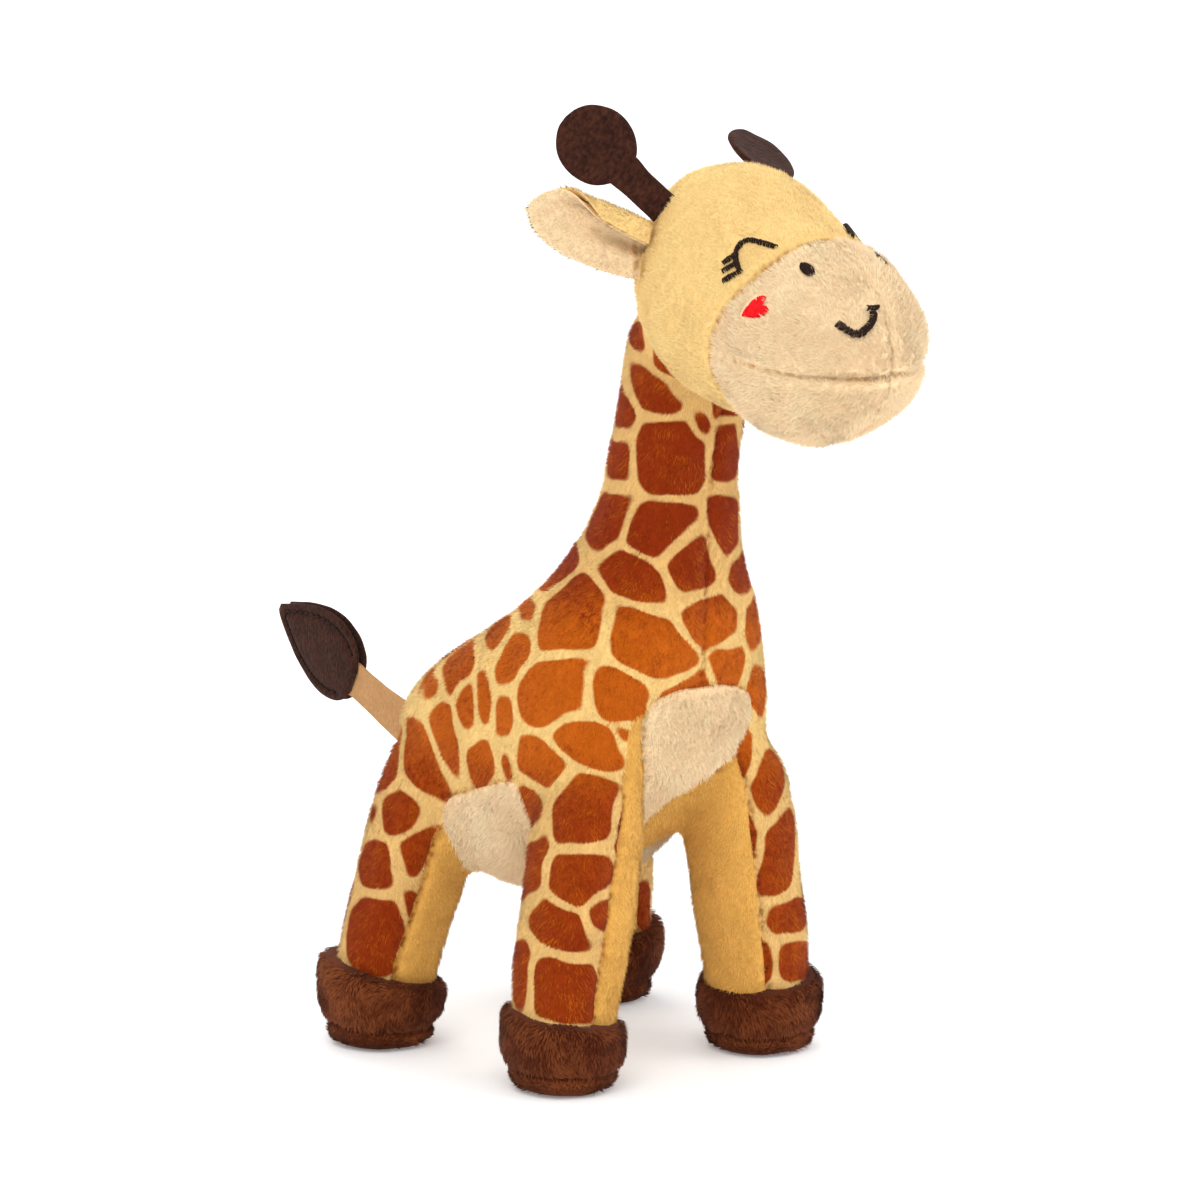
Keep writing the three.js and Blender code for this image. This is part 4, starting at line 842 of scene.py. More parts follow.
@dataclass(frozen=True)
class Pile:
    """How the fibres of a plush stand on its cloth.

    Lengths are in millimetres, lift is in degrees from the cloth, and a bent fibre
    falls over in the middle.
    """

    length: float = 1.7
    width: float = 0.27
    density: float = 5.15
    lift: float = 27.0
    ruffle: float = 0.45
    bent: bool = False
    room: float = 1.0
    patchy: float = 0.5

    @property
    def strand(self) -> Strand:
        """The form of its fibres."""
        return BENT if self.bent else STRAIGHT

    @property
    def most(self) -> int:
        """Fibres in one piece, so that no piece is too big."""
        return 19000 if self.bent else 46000

    def scatter(self, cloth: Skin, rng: np.random.Generator, avoid: Array | None) -> tuple[Array, Array]:
        """Where the fibres stand.

        Args:
            cloth: the cloth.
            rng: the random numbers.
            avoid: points that no fibre stands near.

        Returns:
            The corners of each fibre's triangle, and how near it stands to each corner.
        """
        tri = cloth.triangles()
        p = cloth.points[tri]
        area = np.linalg.norm(np.cross(p[:, 1] - p[:, 0], p[:, 2] - p[:, 0]), axis=1) / 2
        which = np.repeat(np.arange(len(tri)), rng.poisson(area * self.density))
        count = len(which)
        a, b = rng.random(count), rng.random(count)
        over = a + b > 1
        a[over], b[over] = 1 - a[over], 1 - b[over]
        share = np.stack([1 - a - b, a, b], 1)[:, :, None]
        if avoid is not None:
            roots = (p[which] * share).sum(axis=1)
            free = np.ones(count, bool)
            batch = 8000
            for first in range(0, count, batch):
                gap = np.linalg.norm(roots[first : first + batch, None] - avoid[None], axis=2).min(axis=1)
                free[first : first + batch] = gap > self.room
            which, share = which[free], share[free]
        return tri[which], share

    def form(
        self, root: Array, normal: Array, way: Array, lean: Array, long: Array
    ) -> tuple[list[Array], list[Array]]:
        """The corners of each fibre.

        Args:
            root: where each stands.
            normal: the way out of the cloth.
            way: the way that it lies along the cloth.
            lean: the way that it points.
            long: its length.

        Returns:
            The corners, and the way out at each.
        """
        beside = np.cross(normal, way)
        above = np.cross(lean, beside)
        half = self.width / 2
        start = root - normal * 0.35
        corners = [start - beside * half, start + above * -half * 0.9, start + beside * half]
        if self.bent:
            middle = root + lean * long * 0.5
            fall = unit(lean + way * 0.9 + np.array([0, 0, -0.25]))
            aside = beside * half * 0.8
            corners += [middle - aside, middle + above * -half * 0.7, middle + aside]
            tip = middle + fall * long * 0.5
        else:
            tip = root + lean * long
        outward = [-beside * 0.5 + normal, normal * 0.6 - above, beside * 0.5 + normal] * 2
        return [*corners, tip], [*outward[: len(corners)], normal]

    def grow(
        self, cloth: Skin, flow: Array, seed: int, avoid: Array | None = None, dye: "Print | None" = None
    ) -> Skin:
        """Fibres all over a cloth, each a thin closed form.

        Args:
            cloth: the cloth, with normals.
            flow: the way that the pile lies at each of its points.
            seed: which random fibres.
            avoid: points that no fibre stands near.
            dye: the print that colours each fibre at its root and at its tip.

        Returns:
            One skin with the values tone and along, and the cloth's own values.
        """
        rng = np.random.default_rng(seed)
        corners, share = self.scatter(cloth, rng, avoid)
        count = len(corners)

        def at(values: Array) -> Array:
            """The cloth's values at each root."""
            return (values[corners] * share).sum(axis=1)

        root, normal, way = at(cloth.points), unit(at(cloth.normals)), at(flow)
        way = unit(way - (way * normal).sum(axis=1, keepdims=True) * normal)
        turn = (noise(root, 5.5, seed + 1) - 0.5) * 2 * self.ruffle + rng.normal(0, 0.2, count)
        way = way * np.cos(turn)[:, None] + np.cross(normal, way) * np.sin(turn)[:, None]
        clump = noise(root, 2.2, seed + 2)
        drawn = at(cloth.values["seam"][:, None])
        lift = np.radians(self.lift * (0.55 + 0.9 * clump) + rng.normal(0, 6, count))[:, None]
        lift = lift * (1 - 0.5 * drawn)
        lean = way * np.cos(lift) + normal * np.sin(lift)
        long = (self.length * rng.uniform(0.7, 1.2, count))[:, None] * (1 - 0.45 * drawn)
        parts, outward = self.form(root, normal, way, lean, long)
        each = len(parts)
        first = np.arange(count)[:, None, None] * each
        faces = (first + np.array(self.strand.sides)[None]).reshape(-1, 3)
        values = {k: np.repeat(at(v[:, None])[:, 0], each) for k, v in cloth.values.items()}
        if dye is not None:
            ends = [dye.shade(root + lean * long * 0.3), dye.shade(root + lean * long * 0.95)]
            values["spot"] = np.stack([ends[0]] * (each - 1) + [ends[1]], 1).ravel()
        patch = noise(root, 9.0, seed + 3)
        tone = 0.5 + (clump - 0.5) * 0.8 + (patch - 0.5) * self.patchy + rng.normal(0, 0.2, count)
        # The cloth's painted nap sheen lightens or darkens the fibres by region.
        tone = np.clip(tone + at(cloth.values["brushed"][:, None])[:, 0], 0, 1)
        values["tone"] = np.repeat(tone, each)
        values["along"] = np.tile(np.array(self.strand.along, float), count)
        grid = math.ceil(math.sqrt(count))
        cell = np.stack([np.arange(count) % grid, np.arange(count) // grid], 1)[:, None]
        flat = ((cell + np.array(self.strand.flat)[None]) / grid).reshape(-1, 2)
        values["flat_u"], values["flat_v"] = flat[:, 0], flat[:, 1]
        normals = unit(np.stack(outward, 1) + normal[:, None] * 1.2).reshape(-1, 3)
        return Skin(np.stack(parts, 1).reshape(-1, 3), faces, values, normals)


def make_fibres(name: str, fibres: Skin, pile: Pile) -> list[bpy.types.Object]:
    """Pieces of pile, no one of them too big.

    Args:
        name: what the pieces are called, with a number after it.
        fibres: every fibre.
        pile: how they were grown.

    Returns:
        The new objects, each with its own flat map.
    """
    count = len(fibres.points) // len(pile.strand.along)
    parts = max(1, math.ceil(count / pile.most))
    per = len(fibres.faces) // count
    made = []
    for k in range(parts):
        keep = np.arange(k, count, parts)
        faces = (keep[:, None] * per + np.arange(per)[None]).ravel()
        mask = np.zeros(len(fibres.faces), bool)
        mask[faces] = True
        part = fibres.part(mask)
        u, v = part.values.pop("flat_u"), part.values.pop("flat_v")
        piece = make_piece(f"{name}_{k + 1}" if parts > 1 else name, part)
        flat = piece.data.uv_layers.new(name="OFBake")
        corners = part.faces.ravel()
        flat.data.foreach_set("uv", np.stack([u[corners], v[corners]], 1).astype(np.float32).ravel())
        made.append(piece)
    return made


# ---------------------------------------------------------------- materials
class Sock:
    """A shader value that can be added, multiplied and compared in plain arithmetic."""

    def __init__(self, tree: bpy.types.NodeTree, out: bpy.types.NodeSocket) -> None:
        self.tree, self.out = tree, out

    def _do(self, kind: str, *terms: "Sock | float") -> "Sock":
        """One Math node over these terms."""
        node = self.tree.nodes.new("ShaderNodeMath")
        node.operation = kind
        for k, term in enumerate(terms):
            if isinstance(term, Sock):
                self.tree.links.new(term.out, node.inputs[k])
            else:
                node.inputs[k].default_value = term
        return Sock(self.tree, node.outputs[0])

    def __add__(self, other: "Sock | float") -> "Sock":
        return self._do("ADD", self, other)

    def __sub__(self, other: "Sock | float") -> "Sock":
        return self._do("SUBTRACT", self, other)

    def __mul__(self, other: "Sock | float") -> "Sock":
        return self._do("MULTIPLY", self, other)


def linear(code: str) -> Colour:
    """A colour written as six hex digits, in linear light."""
    parts = [int(code[k : k + 2], 16) / 255 for k in (0, 2, 4)]
    return (*[c / 12.92 if c <= 0.04045 else ((c + 0.055) / 1.055) ** 2.4 for c in parts], 1.0)


def tinted(colour: Colour, factors: list[float], more: tuple[float, ...] = (0.0, 0.0, 0.0)) -> Colour:
    """A colour times one factor a channel, with a little more of each, and never over white."""
    return (*[min(c * k + extra, 1) for c, k, extra in zip(colour, factors, more)], 1.0)


class Shader:
    """One procedural material under construction."""

    def __init__(self, name: str) -> None:
        self.material = bpy.data.materials.new(name + "_finish")
        self.material.use_nodes = True
        self.tree = self.material.node_tree
        self.surface = self.tree.nodes["Principled BSDF"]

    def node(self, kind: str, settings: dict[str, object], inputs: dict[str, object]) -> bpy.types.Node:
        """A node with its settings first and then its sockets."""
        made = self.tree.nodes.new(kind)
        for key, value in settings.items():
            setattr(made, key, value)
        for key, value in inputs.items():
            if isinstance(value, Sock):
                self.tree.links.new(value.out, made.inputs[key])
            else:
                made.inputs[key].default_value = value
        return made

    def value(self, name: str) -> Sock:
        """A value that the mesh keeps at its points."""
        made = self.node("ShaderNodeAttribute", {"attribute_name": name}, {})
        return Sock(self.tree, made.outputs["Fac"])

    def place(self) -> Sock:
        """The place on the piece."""
        return Sock(self.tree, self.node("ShaderNodeTexCoord", {}, {}).outputs["Object"])

    def grain(self, scale: float, detail: float = 2.0, place: Sock | None = None) -> Sock:
        """Noise over the piece's own place, or over a changed one, from 0 to 1."""
        inputs = {"Vector": place or self.place(), "Scale": scale, "Detail": detail}
        return Sock(self.tree, self.node("ShaderNodeTexNoise", {}, inputs).outputs[0])

    def mix(self, share: Sock, first: object, second: object) -> Sock:
        """A colour between two others."""
        made = self.node("ShaderNodeMix", {"data_type": "RGBA"}, {0: share, 6: first, 7: second})
        return Sock(self.tree, made.outputs[2])

    def times(self, colour: Sock, shade: list[float]) -> Sock:
        """A colour multiplied by a shade."""
        settings = {"data_type": "RGBA", "blend_type": "MULTIPLY"}
        made = self.node("ShaderNodeMix", settings, {0: 1.0, 6: colour, 7: (*shade, 1.0)})
        return Sock(self.tree, made.outputs[2])

    def step(self, value: Sock, low: float, high: float, to_low: float = 0.0, to_high: float = 1.0) -> Sock:
        """A value carried smoothly from one range to another."""
        settings = {"interpolation_type": "SMOOTHSTEP"}
        inputs = {0: value, 1: low, 2: high, 3: to_low, 4: to_high}
        return Sock(self.tree, self.node("ShaderNodeMapRange", settings, inputs).outputs[0])

    def finish(
        self, colour: Sock, rough: float, sheen: float, bump: Sock | None = None, depth: float = 0.0
    ) -> None:
        """Joins the colour and the bump to the surface.

        Args:
            colour: the base colour.
            rough: its roughness.
            sheen: how much the fibres catch light at an edge.
            bump: the height of its fine relief, if it has any.
            depth: the depth of that relief, in metres.
        """
        self.tree.links.new(colour.out, self.surface.inputs["Base Color"])
        self.surface.inputs["Roughness"].default_value = rough
        self.surface.inputs["Sheen Weight"].default_value = sheen
        self.surface.inputs["Sheen Roughness"].default_value = 0.6
        self.surface.inputs["Specular IOR Level"].default_value = 0.1
        if bump is not None:
            made = self.node("ShaderNodeBump", {}, {"Height": bump, "Distance": depth, "Strength": 0.8})
            self.tree.links.new(made.outputs[0], self.surface.inputs["Normal"])


@dataclass(frozen=True)
class PlushFinish:
    """A dyed plush: its ground, its spots if it is printed, painted shade at the fibres' roots and along
    its seams, and a tone that mixes random variation with painted nap sheen.
    """

    name: str
    ground: str
    spot: str | None = None
    # root and fold are the painted shade at a fibre's root and in a seam or crease, as shares of full
    # brightness.
    root: float = 0.62
    vary: float = 0.22
    fold: float = 0.45

    def make(self) -> bpy.types.Material:
        """The material, the same for the cloth and for its pile."""
        s = Shader(self.name)
        ground = linear(self.ground)
        # The tone mixes random variation with painted nap sheen, and picks lighter or darker copies of each
        # colour.
        tone = s.value("tone") + s.grain(60, 3) * 0.35 - 0.175
        light = tinted(ground, [1 + self.vary] * 3)
        dark = tinted(ground, [1 - self.vary * k for k in (0.8, 1.15, 1.4)])
        colour = s.mix(s.step(tone, 0.0, 1.0), dark, light)
        if self.spot:
            printed = linear(self.spot)
            deep = tinted(printed, [0.52, 0.26, 0.08])
            bright = tinted(printed, [1.2, 1.4, 1.6])
            inside = s.mix(s.step(tone, 0.0, 1.0), deep, bright)
            colour = s.mix(s.step(s.value("spot"), -0.35, 0.35), colour, inside)
        # Painted shade: the colour darkens towards each fibre's root, and on the cloth under the pile.
        root_shaded = s.times(colour, [self.root**p for p in (1.0, 1.25, 1.6)])
        colour = s.mix(s.step(s.value("along"), -0.1, 0.7), root_shaded, colour)
        # Painted shade in seams and creases, heavier in small pits along the stitches.
        pits = s.step(s.grain(620, 0), 0.3, 0.62, 1.0, 0.35)
        folded = s.times(colour, [self.fold**p for p in (1.0, 1.5, 2.2)])
        colour = s.mix(s.step(s.value("seam"), 0.25, 1.0) * pits, colour, folded)
        s.finish(colour, 0.95, 0.04, s.grain(1400, 2), 0.0003)
        return s.material


@dataclass(frozen=True)
class FeltFinish:
    """Pressed felt, flecked by its fibres."""

    name: str
    colour: str
    fleck: float = 0.8

    def make(self) -> bpy.types.Material:
        """The material."""
        s = Shader(self.name)
        base = linear(self.colour)
        wool = (0.016 * self.fleck, 0.007 * self.fleck, 0.004 * self.fleck)
        light = tinted(base, [1 + self.fleck] * 3, wool)
        dark = tinted(base, [1 - self.fleck / 2] * 3)
        stretch = {"Vector": s.place(), "Scale": (400, 1500, 900), "Rotation": (0.4, 0.7, 0.2)}
        long = Sock(s.tree, s.node("ShaderNodeMapping", {}, stretch).outputs[0])
        mottle = s.grain(1.0, 4.0, long) * 0.7 + s.grain(260, 3) * 0.3
        s.finish(s.mix(s.step(mottle, 0.3, 0.75), dark, light), 0.95, 0.05, mottle, 0.0006)
        return s.material


@dataclass(frozen=True)
class ThreadFinish:
    """Embroidery thread with a slight shine."""

    name: str
    colour: str

    def make(self) -> bpy.types.Material:
        """The material."""
        s = Shader(self.name)
        base = linear(self.colour)
        light = tinted(base, [1.6] * 3, (0.006,) * 3)
        s.finish(s.mix(s.step(s.grain(1100, 2), 0.35, 0.7), base, light), 0.5, 0.0)
        return s.material


class Finish(Enum):
    """Every finish on the toy."""

    PRINT = PlushFinish("printed_plush", "F8CD84", "C0580A", 0.7, 0.13)
    GOLD = PlushFinish("gold_plush", "EDB75E", None, 0.62, 0.18, 0.4)
    CREAM = PlushFinish("cream_plush", "FDDBB0", None, 0.8, 0.12, 0.55)
    YELLOW = PlushFinish("yellow_plush", "FDD58E", None, 0.76, 0.1, 0.5)
    BROWN = PlushFinish("brown_pile", "6F3A1D", None, 0.5, 0.5)
    DARK_FELT = FeltFinish("dark_felt", "2F150C")
    TAN_FELT = FeltFinish("tan_felt", "B18557", 0.2)
    THREAD = ThreadFinish("dark_thread", "24150F")
    RED_THREAD = ThreadFinish("red_thread", "E4101A")
    FIBRE = FeltFinish("fibre_stuffing", "F4F2EC", 0.2)
    PLASTIC = ThreadFinish("squeaker_plastic", "F2F0EA")

    def material(self) -> bpy.types.Material:
        """The finish's one material, made when it is first asked for."""
        return bpy.data.materials.get(self.value.name + "_finish") or self.value.make()


# ---------------------------------------------------------------- how a piece moves
@dataclass(frozen=True)
class Follow:
    """What a piece follows: one body, or a bend between two bodies, which is not built, so such a piece
    only keeps its place.
    """

    body: str
    other: str | None = None
    start: tuple[float, float, float] = (0.0, 0.0, 0.0)
    end: tuple[float, float, float] = (0.0, 0.0, 0.0)

    def join(self, made: bpy.types.Object) -> None:
        """Ties a finished piece to its body when it follows one; a piece on a bend is only fixed in place
        and tied to no body.
        """
        if self.other is None:
            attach(made, self.body)
        else:
            Vector(self.start) * MM
            Vector(self.end) * MM
            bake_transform(made)


NECK_FOLLOW = Follow("torso", "neck", (0, 0, 112), (0, 0, 155))


def leg_follow(leg: Leg) -> Follow:
    """The bend from the trunk to a leg, which is not built: the leg's pieces only keep their place."""
    return Follow("torso", f"leg_{leg.name}", (leg.side * 22, 0, 58), (leg.side * 36, 0, 38))


def dress(piece: bpy.types.Object, finish: Finish, follow: Follow, *nodes: str) -> None:
    """Gives a piece its finish, ties it to its body when it follows only one, and sets it in place of its
    CAD nodes.

    Args:
        piece: the piece.
        finish: its finish, whose name is its slot.
        follow: what it follows.
        nodes: the nodes that it replaces.
    """
    piece.data.materials.append(finish.material())
    follow.join(piece)
    if nodes:
        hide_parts(*nodes)


@dataclass
class Panel:
    """One panel of cloth with its pile."""

    name: str
    finish: Finish
    follow: Follow
    nodes: tuple[str, ...]
    pile: Pile
    seed: int

    def sew(
        self, cloth: Skin, flow: Array, bare: Array, avoid: Array | None = None, dye: Print | None = None
    ) -> None:
        """Makes the cloth and the pile, dresses them, and ties them to their body when they follow only
        one.

        Args:
            cloth: the panel, with normals.
            flow: the way that its pile lies.
            bare: the points that have no pile, because another part covers them.
            avoid: points that the pile keeps away from.
            dye: the print on the pile, if it has one.
        """
        cloth.values.setdefault("brushed", np.zeros(len(cloth.points)))
        open_faces = ~bare[cloth.faces].any(axis=1)
        haired = cloth.part(open_faces)
        fibres = self.pile.grow(haired, flow[np.unique(cloth.faces[open_faces])], self.seed, avoid, dye)
        # Painted shade: the cloth under the pile is coloured half way to the darker roots of its fibres,
        # and its tone carries the painted nap sheen.
        cloth.values["along"] = np.full(len(cloth.points), 0.3)
        cloth.values["tone"] = 0.5 + cloth.values["brushed"]
        made = make_piece(self.name, cloth)
        dress(made, self.finish, self.follow, *self.nodes)
        for piece in make_fibres(self.name + "_pile", fibres, self.pile):
            dress(piece, self.finish, self.follow)


# ---------------------------------------------------------------- body
@dataclass
class Body:
    """The trunk, the neck and the legs, sewn from plush panels."""

    voxel: float = 1.25
    inset: float = 0.8
    groove: float = 1.0
    seam_width: float = 1.6
    stitch: float = 5.0
    gusset: tuple[tuple[float, float], ...] = (
        (1.5, 101.2), (11, 99.8), (18.3, 97), (20.4, 93), (20.4, 88), (16.4, 82.2), (11.4, 76.8),
        (6.6, 71.3), (2.8, 67.2), (0.8, 64.5), (0.6, 50), (-9, 50), (-8.5, 64), (-9.3, 68),
        (-11.5, 73), (-14, 78), (-16, 84), (-17.2, 90), (-17, 95), (-14.5, 98.6), (-7, 100.8),
    )
    belly_seam: float = 67.4
    gold_top: float = 96.0
    chest_rear: float = -24.0
    chest_top: float = 101.0
    front_rear: float = -15.5
    strip: tuple[float, float] = (-4.1, 4.8)
    strip_rear: float = -12.0
    strip_top: float = 67.0
    under_head: float = -1.0
    under_cuff: float = 15.0

    def build(self) -> None:
        """Makes every panel."""
        skin = remeshed([TRUNK.rough(), self.neck_top(), *[leg.rough() for leg in LEGS]], self.voxel)
        junction = self.junction(skin.points)
        skin.relax(26, 0.5 * junction)
        skin.relax(3, 0.5)
        normal = skin.find_normals()
        lump = (noise(skin.points, 14, 1) - 0.5) * 1.1 + (noise(skin.points, 6, 2) - 0.5) * 0.5
        far = self.seam_distance(skin.points, normal)
        out = -self.inset + lump - self.seam_depth(skin.points, far)
        skin.values["seam"] = bell(far, 1.25)
        skin.points = skin.points + normal * out[:, None] + puffed(skin)
        skin.relax(1, 0.3)
        skin.normals = skin.find_normals()
        spots = Print(skin)
        skin.values["spot"] = spots.shade(skin.points)
        # Painted nap sheen with random tone, lighter on the flank and darker on the neck.
        skin.values["brushed"] = self.brushed(skin.points)
        labels = self.labels(skin.middles())
        skin.smooth_borders(labels, 10)
        skin.normals = skin.find_normals()
        flow = self.flow(skin.points)
        bare = (HEAD.read(skin.points)[1] < self.under_head) | (skin.points[:, 2] < self.under_cuff)
        for k, panel in enumerate(self.panels()):
            keep = labels == k
            cloth = skin.part(keep)
            used = np.unique(skin.faces[keep])
            printed = panel.finish is Finish.PRINT
            # Only the printed panels get the painted nap sheen.
            cloth.values["brushed"] = cloth.values["brushed"] * printed
            panel.sew(cloth, flow[used], bare[used], None, spots if printed else None)

    def neck_top(self) -> Skin:
        """The round top of the neck, inside the head."""
        share = np.linspace(0.05, math.pi - 0.05, 24)[:, None]
        turn = (np.arange(40) / 40 * 2 * math.pi)[None]
        r = TRUNK.neck_half_width * 0.8
        x, y = r * np.sin(share) * np.cos(turn), r * np.sin(share) * np.sin(turn)
        z = np.broadcast_to(-r * np.cos(share), x.shape)
        return loft(np.stack([x, y + TRUNK.top_y - 4, z + TRUNK.top_z - 2], axis=2))

    def junction(self, p: Array) -> Array:
        """1 where a leg meets the trunk, and 0 away from it."""
        legs = np.max([bell(leg.reach(p) - 1, 0.4) for leg in LEGS], axis=0)
        return bell(TRUNK.reach(p) - 1, 0.28) * legs

    def of_leg(self, p: Array) -> Array:
        """Which leg each point is on, or -1."""
        reach = np.stack([leg.reach(p) for leg in LEGS])
        best = reach.argmin(axis=0)
        return np.where(reach.min(axis=0) < TRUNK.reach(p), best, -1)

    def in_gusset(self, p: Array) -> Array:
        """How far inside the chest panel's outline each point is, in millimetres."""
        outline = np.array(self.gusset)
        q = p[:, [0, 2]]
        best = np.full(len(p), 1e9)
        inside = np.zeros(len(p), bool)
        for a, b in zip(outline, np.roll(outline, -1, axis=0)):
            edge = b - a
            t = np.clip(((q - a) @ edge) / max(edge @ edge, 1e-9), 0, 1)
            best = np.minimum(best, np.linalg.norm(q - a - t[:, None] * edge, axis=1))
            crosses = (a[1] > q[:, 1]) != (b[1] > q[:, 1])
            place = a[0] + (q[:, 1] - a[1]) / np.where(edge[1] == 0, 1, edge[1]) * edge[0]
            inside ^= crosses & (q[:, 0] < place)
        return np.where(inside, best, -best)

    def labels(self, p: Array) -> Array:
        """Which panel each point belongs to, as its place in panels().

        The side panels come first, then the chest and belly panel, the outer leg
        panels and the inner ones, whose cloth runs up beside the chest in front.
        """
        leg = self.of_leg(p)
        label = np.where(p[:, 0] < 0, 0, 1)
        front = p[:, 1] < self.front_rear
        on_trunk = leg < 0
        belly = on_trunk & ~front & (p[:, 2] < self.belly_line(p[:, 1]))
        label[belly] = 2
        for k, one in enumerate(LEGS):
            mine = leg == k
            inner = one.outside(p) < 0
            label[mine & ~inner] = 3 + k
            label[mine & inner] = 7 + k
            if not one.rear:
                yoke = on_trunk & front & (p[:, 2] < self.gold_top) & inner & (p[:, 0] * one.side > 0)
                label[yoke] = 7 + k
        widest = max(x for x, _ in self.gusset) + 0.1
        chest = (on_trunk | (np.abs(p[:, 0]) < widest)) & (self.in_gusset(p) > 0)
        label[chest & (p[:, 1] < self.chest_rear)] = 2
        middle, half = self.strip
        between = (np.abs(p[:, 0] - middle) < half) & (p[:, 1] < self.strip_rear)
        label[between & (p[:, 2] < self.strip_top)] = 2
        return label

    def belly_line(self, y: Array) -> Array:
        """How high the belly panel's seam is."""
        return self.belly_seam + 0.35 * np.clip(13.4 - y, 0, 26) - 14 * np.clip((y - 13.4) / 42, 0, 1)

    def seam_distance(self, p: Array, normal: Array) -> Array:
        """How far each point is from the nearest seam."""
        leg = self.of_leg(p)
        ahead = p[:, 1] < self.chest_rear
        upright = (leg < 0) & (p[:, 2] > 60) & ~(ahead & (p[:, 2] < self.chest_top))
        far = np.where(upright, np.abs(p[:, 0]), 99.0)
        chest = ahead & (normal[:, 1] < 0.2)
        far = np.where(chest, np.minimum(far, np.abs(self.in_gusset(p))), far)
        belly = (leg < 0) & (p[:, 1] > self.front_rear)
        far = np.where(belly, np.minimum(far, np.abs(p[:, 2] - self.belly_line(p[:, 1]))), far)
        for k, one in enumerate(LEGS):
            near = np.abs(one.outside(p))
            there = (leg == k) & (p[:, 2] < one.hip_z + 12)
            far = np.where(there, np.minimum(far, near), far)
        return far

    def seam_depth(self, p: Array, far: Array) -> Array:
        """How deep the seams pull each point in.

        Args:
            p: the points.
            far: how far each is from a seam.

        Returns:
            Millimetres into the cloth.
        """
        pucker = 1 + 0.45 * np.cos(2 * math.pi * (p[:, 2] + p[:, 1] * 0.3) / self.stitch)
        pucker = pucker * (0.7 + 0.6 * noise(p, 7, 9))
        wide = bell(far, self.seam_width * 2.6) * 0.35
        return self.groove * pucker * (bell(far, self.seam_width) + wide)

    def brushed(self, p: Array) -> Array:
        """Painted nap sheen with random tone: how much lighter or darker the pile is painted at each point,
        lighter on the flank and darker on the neck, where its nap catches or loses the light.
        """
        flank = smooth_step(70, 88, p[:, 2]) * smooth_step(130, 112, p[:, 2])
        neck = smooth_step(118, 140, p[:, 2])
        return 0.47 * flank - 0.13 * neck - 0.2 + (noise(p, 26, 12) - 0.5) * 0.3

    def flow(self, p: Array) -> Array:
        """The way that the pile lies: down, and back along the trunk."""
        back = np.where(self.of_leg(p) < 0, 0.45, 0.1)
        return np.stack([np.zeros(len(p)), back, -np.ones(len(p))], 1)

    def panels(self) -> list[Panel]:
        """Every panel, in the order of its label."""
        plush = Pile()
        soft = Pile(length=2.2, width=0.28, density=5.3, lift=36, ruffle=0.8)
        made = []
        for side, seed in (("right", 10), ("left", 20)):
            nodes = (f"side_panel_{side}", f"neck_panel_{side}")
            made.append(Panel(f"plush_side_{side}", Finish.PRINT, NECK_FOLLOW, nodes, plush, seed))
        nodes = ("chest_belly_panel",)
        made.append(Panel("plush_chest_belly", Finish.CREAM, Follow("torso"), nodes, soft, 30))
        for face, finish, seed in (("outer", Finish.PRINT, 40), ("inner", Finish.GOLD, 70)):
            for k, leg in enumerate(LEGS):
                name, nodes = f"plush_{face}_{leg.name}", (f"leg_{face}_panel_{leg.name}",)
                made.append(Panel(name, finish, leg_follow(leg), nodes, plush, seed + k * 5))
        return made


